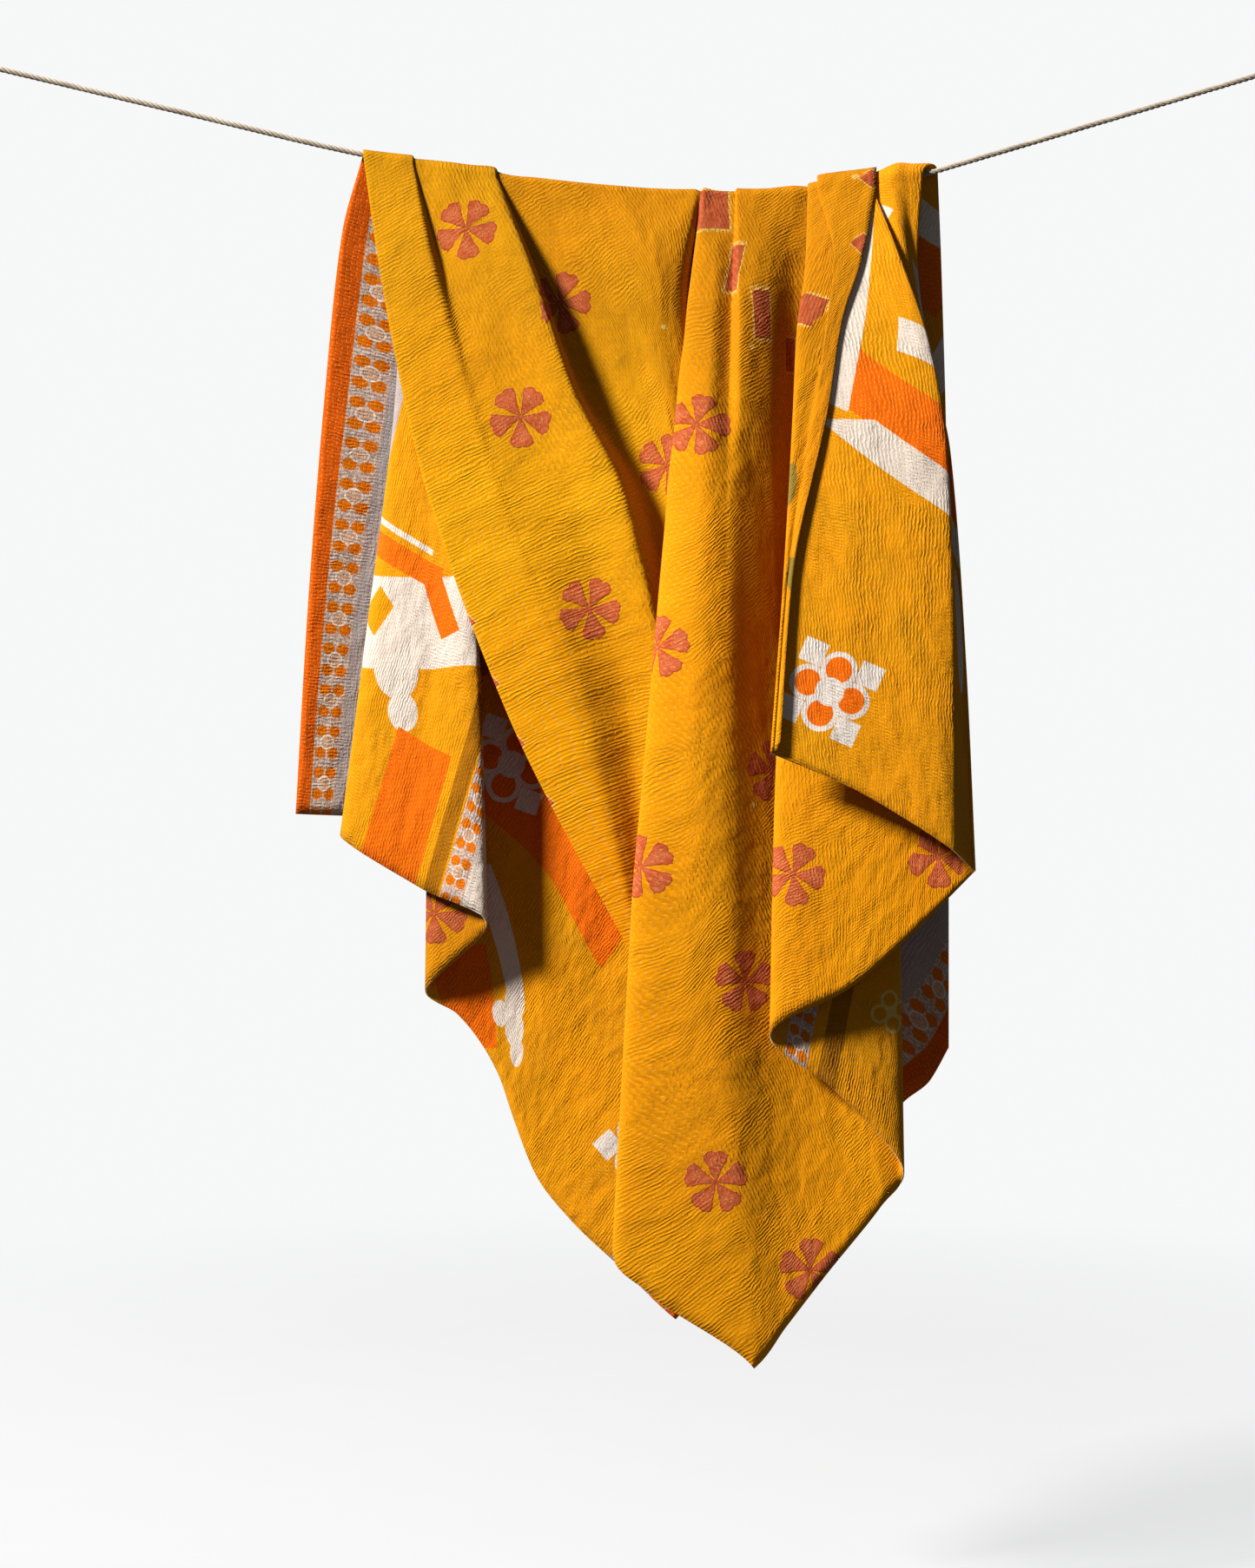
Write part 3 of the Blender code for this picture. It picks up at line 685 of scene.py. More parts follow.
    def flat_coordinates(self) -> np.ndarray:
        """Flat coordinates of every point, in millimetres.

        The hems and the rope's line are measured along the built surface and laid out on the flat
        cloth, with the hidden cloth of each pleat added at its fold. In between, a column's points
        lie on the straight line from the rope to its hem, by their length along it. Away from the
        rope the pleats open, so there the hidden cloth is spread over the folds to both sides.

        Returns:
            u and v of each point.
        """
        crest = self.front_rows + self.crest_steps // 2
        along = running_length(self.points)
        front_length, back_length = along[crest], along[-1] - along[crest]
        names = [fold.name for fold in FOLDS]
        left, right = self.length - back_length[0], front_length[-1]
        closed, opened = (self.rope_line(crest, spread, left, right) for spread in self.pleat_spreads)
        ends = []
        for side, row in ((Side.FRONT, 0), (Side.BACK, -1)):
            hem = running_length(self.points[row])
            turn = np.searchsorted(self.places, names.index(CORNERS[side]))
            before = np.clip(hem / hem[turn], 0, 1)
            after = np.clip((hem - hem[turn]) / (hem[-1] - hem[turn]), 0, 1)
            if side is Side.FRONT:
                across, down = after, (left - front_length[0]) * (1 - before)
            else:
                across, down = before, self.length + (right + back_length[-1] - self.length) * after
            ends.append(np.stack([self.width * across, down], axis=-1))
        shares = (((along[crest] - along[:crest]) / front_length)[..., None],
                  ((along[crest:] - along[crest]) / back_length)[..., None])
        parts = []
        for share, end in zip(shares, ends):
            line = closed + (opened - closed) * smooth_step(share / self.pleats_open)
            parts.append(line + (end - line) * share)
        return np.concatenate(parts)

    def rope_line(self, crest: int, spread: float, left: float, right: float) -> np.ndarray:
        """Flat places over the rope, on a straight line from the left edge to the right edge.

        Args:
            crest: the row on top of the rope.
            spread: over how many folds a pleat's hidden cloth is shared out.
            left: where the rope crosses the left edge.
            right: where the rope crosses the right edge.

        Returns:
            u and v of each column there.
        """
        pleats = sum(
            fold.tuck * smooth_step((self.places - (count - 0.2)) / spread + 0.5)
            for count, fold in enumerate(FOLDS) if fold.tuck
        )
        over = running_length(self.points[crest]) + pleats
        share = (over - over[0]) / (over[-1] - over[0])
        return np.stack([self.width * share, left + (right - left) * share], axis=-1)

    def normals(self) -> np.ndarray:
        """Unit directions out of the first face at every point."""
        return unit(np.cross(np.gradient(self.points, axis=1), np.gradient(self.points, axis=0)))

    def press_creases(self) -> None:
        """Moves each point along its normal by the sum of the creases there.

        A crease's height falls off sideways as exp(-(distance / half width)^2) and eases in and out
        over the first and last fifth of its length.
        """
        heights = np.zeros(self.points.shape[:2])
        for crease in CREASES:
            start = np.array([crease.u_start, crease.v_start])
            run = np.array([crease.u_end, crease.v_end]) - start
            length = np.linalg.norm(run)
            offset = self.flat - start
            share = offset @ run / length**2
            sideways = (offset[..., 0] * run[1] - offset[..., 1] * run[0]) / length
            ease = smooth_step(share * 5) * smooth_step((1 - share) * 5)
            heights += crease.height * ease * np.exp(-((sideways / crease.half_width) ** 2))
        self.points = self.points + self.normals() * heights[..., None]


@dataclass(frozen=True)
class Signal:
    """A number that a material works out at each point, with sums written as plain arithmetic."""

    tree: bpy.types.NodeTree
    socket: bpy.types.NodeSocket

    def worked(self, operation: str, *others: "Signal | float", clamp: bool = False) -> "Signal":
        """The result of one math node on this number and the others.

        Args:
            operation: the node's operation.
            others: its further inputs, numbers or signals.
            clamp: whether the result is kept between 0 and 1.

        Returns:
            The result as a new signal.
        """
        node = self.tree.nodes.new("ShaderNodeMath")
        node.operation = operation
        node.use_clamp = clamp
        self.tree.links.new(self.socket, node.inputs[0])
        for slot, other in enumerate(others, start=1):
            if isinstance(other, Signal):
                self.tree.links.new(other.socket, node.inputs[slot])
            else:
                node.inputs[slot].default_value = float(other)
        return Signal(self.tree, node.outputs[0])

    def __add__(self, other: "Signal | float") -> "Signal":
        """This number plus another."""
        return self.worked("ADD", other)

    def __sub__(self, other: "Signal | float") -> "Signal":
        """This number less another."""
        return self.worked("SUBTRACT", other)

    def __mul__(self, other: "Signal | float") -> "Signal":
        """This number times another."""
        return self.worked("MULTIPLY", other)

    def __abs__(self) -> "Signal":
        """This number without its sign."""
        return self.worked("ABSOLUTE")

    __radd__ = __add__
    __rmul__ = __mul__

    def taken_from(self, whole: "Signal | float") -> "Signal":
        """The whole less this number."""
        return self.worked("MULTIPLY_ADD", -1.0, whole)

    def sine(self) -> "Signal":
        """Sine of this number of turns."""
        return (self * math.tau).worked("SINE")

    def least(self, other: "Signal | float") -> "Signal":
        """The smaller of two numbers."""
        return self.worked("MINIMUM", other)

    def most(self, other: "Signal | float") -> "Signal":
        """The larger of two numbers."""
        return self.worked("MAXIMUM", other)

    def length_with(self, other: "Signal") -> "Signal":
        """The length of the arrow with this number and another as its sides."""
        return (self * self + other * other).worked("SQRT")

    def above(self, edge: float, blur: float) -> "Signal":
        """1 above the edge and 0 below it, with a straight rise of the blur's width between."""
        return self.worked("MULTIPLY_ADD", 1 / blur, 0.5 - edge / blur, clamp=True)

    def remainder(self, step: float) -> "Signal":
        """How far this number is past the last whole step, from 0 to the step."""
        return self.worked("MULTIPLY", 1 / step).worked("FRACT") * step

    def centred(self, step: float) -> "Signal":
        """How far this number is from the middle of its step, from minus half a step to half."""
        return self.remainder(step) - step / 2


class Sketch:
    """A material's node tree, with the few nodes that the finishes are drawn with."""

    def __init__(self, name: str) -> None:
        """Starts a material with one shader of that name."""
        self.material = bpy.data.materials.new(name)
        self.material.use_nodes = True
        self.tree = self.material.node_tree
        self.shader = self.tree.nodes["Principled BSDF"]

    def mapped(self, layer: str) -> tuple[Signal, Signal]:
        """The two coordinates of a UV map, in millimetres.

        Args:
            layer: the UV map's name.

        Returns:
            Its u and v.
        """
        source = self.tree.nodes.new("ShaderNodeUVMap")
        source.uv_map = layer
        parts = self.tree.nodes.new("ShaderNodeSeparateXYZ")
        self.tree.links.new(source.outputs[0], parts.inputs[0])
        return tuple(Signal(self.tree, parts.outputs[k]) * 1000 for k in (0, 1))

    def placed(self) -> tuple[Signal, Signal, Signal]:
        """The three object coordinates, in millimetres.

        Returns:
            Its x, y and z.
        """
        source = self.tree.nodes.new("ShaderNodeTexCoord")
        parts = self.tree.nodes.new("ShaderNodeSeparateXYZ")
        self.tree.links.new(source.outputs["Object"], parts.inputs[0])
        return tuple(Signal(self.tree, parts.outputs[k]) * 1000 for k in (0, 1, 2))

    def stored(self, name: str) -> Signal:
        """A number kept on the mesh.

        Args:
            name: the attribute's name.

        Returns:
            The number.
        """
        source = self.tree.nodes.new("ShaderNodeAttribute")
        source.attribute_name = name
        return Signal(self.tree, source.outputs["Fac"])

    def point(self, x: "Signal | float", y: "Signal | float",
              z: "Signal | float" = 0.0) -> bpy.types.NodeSocket:
        """A vector made of three numbers.

        Args:
            x: the first number.
            y: the second number.
            z: the third number.

        Returns:
            The vector's socket.
        """
        node = self.tree.nodes.new("ShaderNodeCombineXYZ")
        for slot, part in enumerate((x, y, z)):
            if isinstance(part, Signal):
                self.tree.links.new(part.socket, node.inputs[slot])
            else:
                node.inputs[slot].default_value = part
        return node.outputs[0]

    def noise(self, x: Signal, y: Signal, z: "Signal | float" = 0.0, detail: float = 1.0,
              roughness: float = 0.5) -> Signal:
        """Soft noise about 0 with waves of about 1 unit, from about -0.5 to 0.5.

        Args:
            x: the first coordinate.
            y: the second coordinate.
            z: the third coordinate, or a number that picks another noise.
            detail: how many finer waves are added.
            roughness: how strong the finer waves are.

        Returns:
            The noise.
        """
        node = self.tree.nodes.new("ShaderNodeTexNoise")
        self.tree.links.new(self.point(x, y, z), node.inputs["Vector"])
        node.inputs["Scale"].default_value = 1.0
        node.inputs["Detail"].default_value = detail
        node.inputs["Roughness"].default_value = roughness
        return Signal(self.tree, node.outputs[0]) - 0.5

    def mixed(self, base: Paint, top: Paint, share: Signal) -> bpy.types.NodeSocket:
        """A colour with another laid over it by a share.

        Args:
            base: the colour below.
            top: the colour above.
            share: how much of the top shows.

        Returns:
            The socket of the mixed colour.
        """
        node = self.tree.nodes.new("ShaderNodeMix")
        node.data_type = "RGBA"
        self.tree.links.new(share.socket, node.inputs[0])
        for slot, colour in ((6, base), (7, top)):
            if isinstance(colour, tuple):
                node.inputs[slot].default_value = colour
            else:
                self.tree.links.new(colour, node.inputs[slot])
        return node.outputs[2]

    def shaded(self, base: bpy.types.NodeSocket, light: Signal) -> bpy.types.NodeSocket:
        """A colour made lighter or darker: each channel times a number.

        Args:
            base: the colour.
            light: the number, about 1.

        Returns:
            The socket of the new colour.
        """
        node = self.tree.nodes.new("ShaderNodeMix")
        node.data_type = "RGBA"
        node.blend_type = "MULTIPLY"
        node.inputs[0].default_value = 1.0
        self.tree.links.new(base, node.inputs[6])
        self.tree.links.new(self.point(light, light, light), node.inputs[7])
        return node.outputs[2]

    def finish(self, colour: bpy.types.NodeSocket, roughness: float, height: Signal | None = None,
               sheen: float = 0.0, specular: float = 0.5, metallic: float = 0.0) -> bpy.types.Material:
        """Puts the colour and the relief on the shader.

        Args:
            colour: the base colour.
            roughness: the shader's roughness.
            height: the relief in millimetres.
            sheen: the shader's sheen.
            specular: the shader's specular level.
            metallic: the shader's metallic share.

        Returns:
            The finished material.
        """
        inputs = self.shader.inputs
        self.tree.links.new(colour, inputs["Base Color"])
        inputs["Roughness"].default_value = roughness
        inputs["Sheen Weight"].default_value = sheen
        inputs["Sheen Roughness"].default_value = 0.5
        inputs["Specular IOR Level"].default_value = specular
        inputs["Metallic"].default_value = metallic
        if height is not None:
            bump = self.tree.nodes.new("ShaderNodeBump")
            bump.inputs["Strength"].default_value = 1.0
            bump.inputs["Distance"].default_value = MM
            self.tree.links.new(height.socket, bump.inputs["Height"])
            self.tree.links.new(bump.outputs[0], inputs["Normal"])
        return self.material


@dataclass(frozen=True)
class Quilting:
    """The rows of small stitches through both faces, and the ripples that they pull up.

    Sizes are in millimetres. slant is how far a row's stitches lie from those of the row before,
    and shown is how much of a stitch shows its thread, both as shares of its length.
    """

    spacing: float = 3.6
    stitch: float = 6.0
    height: float = 0.27
    slow_bend: float = 13.0
    quick_bend: float = 4.0
    slant: float = 0.37
    shown: float = 0.45
    sunk_thread: float = 0.2
    pucker: float = 4.0
    ripple_shade: float = 0.13
    pucker_shade: float = 0.14
    cloth_width: float = 1120.0
    turned_edge: float = 58.0

    def draw(self, sketch: Sketch, u: Signal, v: Signal) -> tuple[Signal, Signal, Signal]:
        """Works out the relief, the painted shade and the thread.

        The ripples are sines across the rows, bent by soft noise and broken up along the rows. In
        patches and along both edges they turn and run across the cloth. The thread shows as dashes
        on the rows.

        Args:
            sketch: the material.
            u: the cloth's first coordinate.
            v: the cloth's second coordinate.

        Returns:
            The relief in millimetres, the painted shade about 1 and the share of bare thread.
        """
        slow = sketch.noise(u * 0.020, v * 0.016, 3.0, detail=2)
        quick = sketch.noise(u * 0.14, v * 0.11, 7.0, detail=1)
        bend = slow * self.slow_bend + quick * self.quick_bend
        along = ((u + bend) * (1 / self.spacing)).sine()
        across = ((v + bend * 1.2) * (1 / (self.spacing * 1.05))).sine()
        streak = sketch.noise(u * 0.36, v * 0.13, 1.0, detail=1)
        band = sketch.noise(u * 0.12, v * 0.36, 5.0, detail=1)
        edge = u.least(u.taken_from(self.cloth_width)).taken_from(self.turned_edge).above(0.0, 16.0)
        turned = sketch.noise(u * 0.010, v * 0.008, 11.0, detail=1).above(0.02, 0.10).most(edge)
        strong = (sketch.noise(u * 0.030, v * 0.022, 23.0, detail=1) * 2.4 + 0.95).most(0.25)
        rows = along * (0.6 + streak * 1.4) + streak * 1.6
        courses = across * (0.6 + band * 1.4) + band * 1.6
        ripple = (rows * turned.taken_from(1.0) + courses * turned) * strong
        puckers = sketch.noise(u * 0.040, v * 0.026, 19.0, detail=2)
        row = ((u + bend) * (1 / self.spacing)).worked("FLOOR")
        dash = (v + bend * 0.3 + row * (self.slant * self.stitch)).remainder(self.stitch)
        on_row = abs((u + bend).centred(self.spacing)).taken_from(0.5).above(0.0, 0.4)
        thread = on_row.least(dash.taken_from(self.shown * self.stitch).above(0.0, 0.6))
        relief = ripple * self.height + puckers * self.pucker - thread * self.sunk_thread
        # painted shade: lighter on the ripples' crests and darker in their troughs, and likewise over the
        # puckers
        shade = 1.0 + ripple * self.ripple_shade + puckers * self.pucker_shade
        return relief, shade, thread


@dataclass(frozen=True)
class FirstFace:
    """The golden face, with coral flowers and patches and a pale running stitch about them.

    Over the rope the colour is darkened as painted shade; the rope crosses the cloth where v plus the slope
    times u is the start value.
    A petal's sizes are in millimetres from the flower's centre.
    """

    quilting: Quilting
    gold: tuple = (192, 131, 2)
    amber: tuple = (198, 122, 0)
    olive: tuple = (142, 104, 6)
    coral: tuple = (160, 64, 34)
    rose: tuple = (190, 104, 72)
    brick: tuple = (122, 40, 20)
    thread: tuple = (208, 176, 96)
    leaf: tuple = (98, 98, 46)
    # painted shade over the rope: the slope and start of its line across the cloth, and how much darker it
    # makes the cloth
    shade_line_slope: float = 0.69
    shade_line_from: float = 1110.0
    top_painted_shade: float = 0.28
    petals: int = 5
    lobe_out: float = 24.5
    lobe_aside: float = 4.4
    lobe_radius: float = 7.4
    wedge_slope: float = 0.46
    wedge_out: float = 27.5
    heart_radius: float = 3.0

    def dress(self) -> bpy.types.Material:
        """Lays stains, flowers, patches and threads over the golden ground by their shares, and darkens it
        over the rope as painted shade.

        Returns:
            The finished material.
        """
        sketch = Sketch("quilt_first_face")
        u, v = sketch.mapped("cloth")
        relief, shade, thread = self.quilting.draw(sketch, u, v)
        wide = sketch.noise(u * 0.006, v * 0.004, 2.0, detail=2)
        stain = sketch.noise(u * 0.03, v * 0.03, 8.0, detail=3, roughness=0.65)
        centre = (u - 240.0).above(0.0, 160.0).most(v.taken_from(760.0).above(0.0, 300.0))
        warm = (wide * 1.6 + centre * 0.75).most(0.0)
        ground = sketch.mixed(linear(self.gold), linear(self.amber), warm)
        stained = stain.above(0.16, 0.3) * (centre * -0.32 + 0.42)
        ground = sketch.mixed(ground, linear(self.olive), stained)
        petals, specks, edges = self.flower(sketch)
        patch, leaf, sprig, rim = self.patches(sketch)
        coral = petals.most(patch)
        fade = sketch.noise(u * 0.12, v * 0.12, 21.0, detail=2)
        red = sketch.mixed(linear(self.coral), linear(self.rose), (fade * 1.2 + 0.3).most(0.0))
        ground = sketch.mixed(ground, red, coral * 0.97)
        ground = sketch.mixed(ground, linear(self.brick), edges * 0.45)
        ground = sketch.mixed(ground, linear(self.leaf), leaf * 0.8)
        pale = specks.most(rim).most(sprig)
        ground = sketch.mixed(ground, linear(self.rose), specks)
        ground = sketch.mixed(ground, linear(self.thread), pale * specks.taken_from(1.0) * 0.9)
        ground = sketch.mixed(ground, linear(self.thread), thread * 0.16)
        # painted shade: the cloth is darker towards the rope, over the top of the hang
        top_shade_share = (v + u * self.shade_line_slope - self.shade_line_from).above(0.0, 230.0)
        shade = shade - top_shade_share * self.top_painted_shade
        return sketch.finish(sketch.shaded(ground, shade), 0.88, relief + coral * 0.25, 0.02, 0.06)

    def flower(self, sketch: Sketch) -> tuple[Signal, Signal, Signal]:
        """Petals: each a wedge from the centre that ends in two round lobes.

        Args:
            sketch: the material.

        Returns:
            The shares of the petals, of the specks of stitching on them and of their darker edges.
        """
        x, y = sketch.mapped("motif")
        angle = y.worked("ARCTAN2", x)
        petal = (angle * (self.petals / math.tau)).worked("ROUND")
        local = angle - petal * (math.tau / self.petals)
        reach = x.length_with(y)
        out = reach * local.worked("COSINE")
        side = abs(reach * local.worked("SINE"))
        lobe = (out - self.lobe_out).length_with(side - self.lobe_aside).taken_from(self.lobe_radius)
        wedge = ((out * self.wedge_slope + 0.4) - side).least(out.taken_from(self.wedge_out))
        wear = sketch.noise(x * 0.16, y * 0.16, petal, detail=2) * 2.4
        inside = lobe.most(wedge).most(reach.taken_from(self.heart_radius)) + wear
        spot = (out - 20.0).length_with(side).taken_from(5.5)
        specks = sketch.noise(x * 0.75, y * 0.75, 4.0, detail=0).above(0.13, 0.08)
        edges = abs(inside - 0.6).taken_from(0.5).above(0.0, 0.5)
        return inside.above(0.0, 0.6), specks.least(spot.above(0.0, 2.0)), edges

    def patches(self, sketch: Sketch) -> tuple[Signal, Signal, Signal, Signal]:
        """Sewn patches by kind: a block, a lozenge and two ovals, cut at 1 half size from the middle.

        Args:
            sketch: the material.

        Returns:
            The shares of the coral patches, the leaves, the sprigs and the stitched outline.
        """
        x, y = sketch.mapped("patch")
        kind = sketch.stored("patch_kind")
        rough = sketch.noise(x * 3, y * 3, 6.0, detail=1) * 0.18
        block = abs(x).most(abs(y)).taken_from(1.0)
        lozenge = (abs(x) + abs(y)).taken_from(1.0)
        leaf = ((x * 1.2).length_with(y)).taken_from(1.0)
        is_block = kind.above(0.5, 0.01).taken_from(1.0)
        is_lozenge = abs(kind - 1.0).above(0.5, 0.01).taken_from(1.0)
        is_leaf = abs(kind - 2.0).above(0.5, 0.01).taken_from(1.0)
        is_sprig = kind.above(2.5, 0.01)
        cut = block * is_block + lozenge * is_lozenge - (is_block + is_lozenge).taken_from(1.0)
        outline = (abs(cut + 0.10)).taken_from(0.09).above(0.0, 0.05)
        dashes = sketch.noise(x * 9, y * 9, 2.0, detail=0).above(-0.02, 0.1)
        return (
            (cut + rough * 0.3).above(0.0, 0.06),
            (leaf + rough).above(0.0, 0.12) * is_leaf,
            (leaf + rough * 2).above(0.2, 0.2) * is_sprig,
            outline * dashes * (is_block + is_lozenge),
        )


@dataclass(frozen=True)
class SecondFace:
    """The printed face: orange edges, borders of round flowers, figures and white flowers.

    Sizes are in millimetres. A border's dots and a white flower's rings, hearts and squares are
    given by how far out they are and by their radius or half size.
    """

    quilting: Quilting
    stained: tuple = (156, 116, 2)
    orange_ends: tuple = (186, 78, 2)
    thread: tuple = (204, 180, 122)
    strip_dark: tuple = (154, 124, 110)
    strip_light: tuple = (182, 166, 156)
    dot_orange: tuple = (190, 96, 6)
    disc_white: tuple = (198, 186, 174)
    disc_straw: tuple = (186, 136, 96)
    white: tuple = (194, 184, 176)
    straw: tuple = (198, 162, 88)
    width: float = 1120.0
    edge: float = 17.0
    repeat: float = 44.0
    strip_half: float = 15.0
    dot_across: float = 7.2
    dot_along: float = 11.4
    dot_radius: float = 6.3
    disc_radius: float = 6.4
    disc_ring: float = 7.4
    ring_out: float = 23.5
    ring_radius: float = 18.4
    heart_radius: float = 13.2
    heart_cut: float = 14.4
    middle_radius: float = 13.5
    square_out: float = 30.5
    square_half: float = 12.0
    small_out: float = 12.5
    small_ring: float = 8.2
    small_middle: float = 6.0

    def dress(self) -> bpy.types.Material:
        """Lays stains, printed figures, borders, edges, flowers and threads over the ground.

        Returns:
            The finished material.
        """
        sketch = Sketch("quilt_second_face")
        u, v = sketch.mapped("cloth")
        relief, shade, thread = self.quilting.draw(sketch, u, v)
        wear = sketch.noise(u * 0.10, v * 0.10, 30.0, detail=2)
        stain = sketch.noise(u * 0.012, v * 0.012, 8.0, detail=3, roughness=0.6)
        stained = stain.above(0.06, 0.3) * 0.36
        ground = sketch.mixed(linear(Ink.GROUND.value), linear(self.stained), stained)
        for mark in PRINTS:
            ground = sketch.mixed(ground, linear(mark.ink.value), self.figure(mark, u, v, wear))
        ground = self.borders(sketch, ground, u, v)
        near = u.taken_from(self.edge).above(0.0, 1.0)
        far = (u - (self.width - self.edge)).least(v - BORDERS[1].start).above(0.0, 1.0)
        ground = sketch.mixed(ground, linear(self.orange_ends), near.most(far))
        ground = self.rosettes(sketch, ground)
        ground = sketch.mixed(ground, linear(self.thread), thread * 0.13)
        return sketch.finish(sketch.shaded(ground, shade), 0.88, relief, 0.02, 0.06)

    def figure(self, mark: Print, u: Signal, v: Signal, wear: Signal) -> Signal:
        """The share of one printed figure, from x and y turned about its centre.

        A block is where both are less than its half sizes, an arc where the distance from the centre
        is near its radius, and a disc where x and y over its half sizes are less than 1 together.

        Args:
            mark: the figure.
            u: the cloth's first coordinate.
            v: the cloth's second coordinate.
            wear: noise that roughens its edge.

        Returns:
            1 inside the figure and 0 outside.
        """
        c, s = math.cos(math.radians(mark.turn)), math.sin(math.radians(mark.turn))
        x = u.worked("MULTIPLY_ADD", c, v.worked("MULTIPLY_ADD", s, -mark.u * c - mark.v * s))
        y = u.worked("MULTIPLY_ADD", -s, v.worked("MULTIPLY_ADD", c, mark.u * s - mark.v * c))
        if mark.figure is Figure.BLOCK:
            inside = abs(x).taken_from(mark.size).least(abs(y).taken_from(mark.half_width))
        elif mark.figure is Figure.ARC:
            ring = abs(x.length_with(y) - mark.size).taken_from(mark.half_width)
            inside = ring.least(y - mark.reach * mark.size)
        else:
            reach = (x * (1 / mark.size)).length_with(y * (1 / mark.half_width))
            inside = reach.taken_from(1.0) * mark.size
        return (inside + wear * 1.2).above(0.0, 0.7)

    def borders(self, sketch: Sketch, ground: bpy.types.NodeSocket, u: Signal,
                v: Signal) -> bpy.types.NodeSocket:
        """Strips of round flowers: two columns of dots with a ringed disc in the middle of each four.

        Args:
            sketch: the material.
            ground: the colour so far.
            u: the cloth's first coordinate.
            v: the cloth's second coordinate.

        Returns:
            The colour with the borders.
        """
        strip, off = None, None
        for border in BORDERS:
            place = u - border.u
            long = (v - border.start).least(v.taken_from(border.end))
            here = abs(place).taken_from(self.strip_half).least(long).above(0.0, 0.5)
            off = place * here if off is None else off + place * here
            strip = here if strip is None else strip + here
        step = v.centred(self.repeat)
        dots = (abs(off) - self.dot_across).length_with(abs(step) - self.dot_along)
        disc = off.length_with(step)
        grid = (u * (1 / 1.9)).sine() * (v * (1 / 1.9)).sine()
        scatter = sketch.noise(u * 0.35, v * 0.35, 9.0, detail=0)
        pale = sketch.mixed(linear(self.strip_dark), linear(self.strip_light), scatter.above(0.0, 0.3))
        pale = sketch.mixed(pale, linear(self.dot_orange), dots.taken_from(self.dot_radius).above(0.0, 0.7))
        ring = abs(disc - self.disc_ring).taken_from(0.8).above(0.0, 0.5)
        pale = sketch.mixed(pale, linear(self.disc_white), ring)
        inner = disc.taken_from(self.disc_radius).above(0.0, 0.5)
        pale = sketch.mixed(pale, linear(self.disc_straw), inner * grid.above(0.1, 0.4))
        return sketch.mixed(ground, pale, strip)

    def rosettes(self, sketch: Sketch, ground: bpy.types.NodeSocket) -> bpy.types.NodeSocket:
        """White flowers: four rings about a disc, with orange hearts and a square at each corner.

        Args:
            sketch: the material.
            ground: the colour so far.

        Returns:
            The colour with the flowers.
        """
        x, y = sketch.mapped("motif")
        wear = sketch.noise(x * 0.2, y * 0.2, 5.0, detail=2) * 1.2
        small = sketch.stored("motif_kind")
        far, near = abs(x).most(abs(y)), abs(x).least(abs(y))
        middle = x.length_with(y)
        petal = (far - self.ring_out).length_with(near)
        corner = abs(far - self.square_out).most(abs(near - self.square_out))
        disc = middle.taken_from(self.middle_radius)
        big = petal.taken_from(self.ring_radius).most(corner.taken_from(self.square_half)).most(disc) + wear
        hearts = (petal.taken_from(self.heart_radius) + wear).least(middle - self.heart_cut)
        for figure, dye in ((big, self.white), (hearts, Ink.ORANGE.value)):
            ground = sketch.mixed(ground, linear(dye), figure.above(0.0, 0.8) * small.taken_from(1.0))
        little = abs((far - self.small_out).length_with(near) - self.small_ring).taken_from(1.5)
        rings = little.most(middle.taken_from(self.small_middle)) + wear * 0.5
        return sketch.mixed(ground, linear(self.straw), rings.above(0.0, 0.8) * small)


@dataclass(frozen=True)
class EdgeCloth:
    """The cut layers at the hems: gold cloth with frayed ends, partly pale as a painted highlight along the
    hems.
    """

    pale: tuple = (212, 180, 116)
    gold: tuple = (184, 130, 28)

    def dress(self) -> bpy.types.Material:
        """Mixes the gold and the pale of the painted highlight by fine noise, which is also the frayed
        relief.

        Returns:
            The finished material.
        """
        sketch = Sketch("quilt_edge")
        x, y, z = sketch.placed()
        fray = sketch.noise(x * 0.35, y * 0.35, z * 0.35, detail=3)
        # painted highlight: the pale share stands for the light caught along the hems
        colour = sketch.mixed(linear(self.gold), linear(self.pale), fray.above(-0.05, 0.3))
        return sketch.finish(colour, 0.9, fray * 0.8, 0.1, 0.2)


@dataclass(frozen=True)
class RopeFibre:
    """Grey-brown plant fibre, spun round each strand."""

    dark: tuple = (104, 88, 70)
    light: tuple = (212, 200, 180)

    def dress(self) -> bpy.types.Material:
        """Mixes the two shades in fine streaks that run round the strand as they run along it.

        Returns:
            The finished material.
        """
        sketch = Sketch("rope_fibre_twist")
        along, around = sketch.mapped("strand")
        x, y, z = sketch.placed()
        streak = sketch.noise(along * 0.08, (around * 6 + along * 0.5), 1.0, detail=3, roughness=0.7)
        grey = sketch.noise(x * 0.03, y * 0.03, z * 0.03, detail=2)
        lit = (streak * 1.6 + grey + 0.45).above(0.5, 1.0)
        colour = sketch.mixed(linear(self.dark), linear(self.light), lit)
        return sketch.finish(colour, 0.85, streak * 0.9, 0.1, 0.25)


@dataclass(frozen=True)
class PlateSteel:
    """Satin steel of the wall plates, with fine turned marks and faint smudges."""

    bright: tuple = (196, 196, 198)
    dull: tuple = (150, 150, 154)

    def dress(self) -> bpy.types.Material:
        """Mixes the two shades by turned marks and smudges.

        Returns:
            The finished material.
        """
        sketch = Sketch("plate_satin_steel")
        x, y, z = sketch.placed()
        marks = sketch.noise(x * 0.2, y * 3.0, z * 3.0, detail=2)
        smudge = sketch.noise(x * 0.1, y * 0.1, z * 0.1, detail=2)
        colour = sketch.mixed(linear(self.bright), linear(self.dull), (marks + smudge + 0.4).most(0.0))
        return sketch.finish(colour, 0.36, marks * 0.08, metallic=1.0)


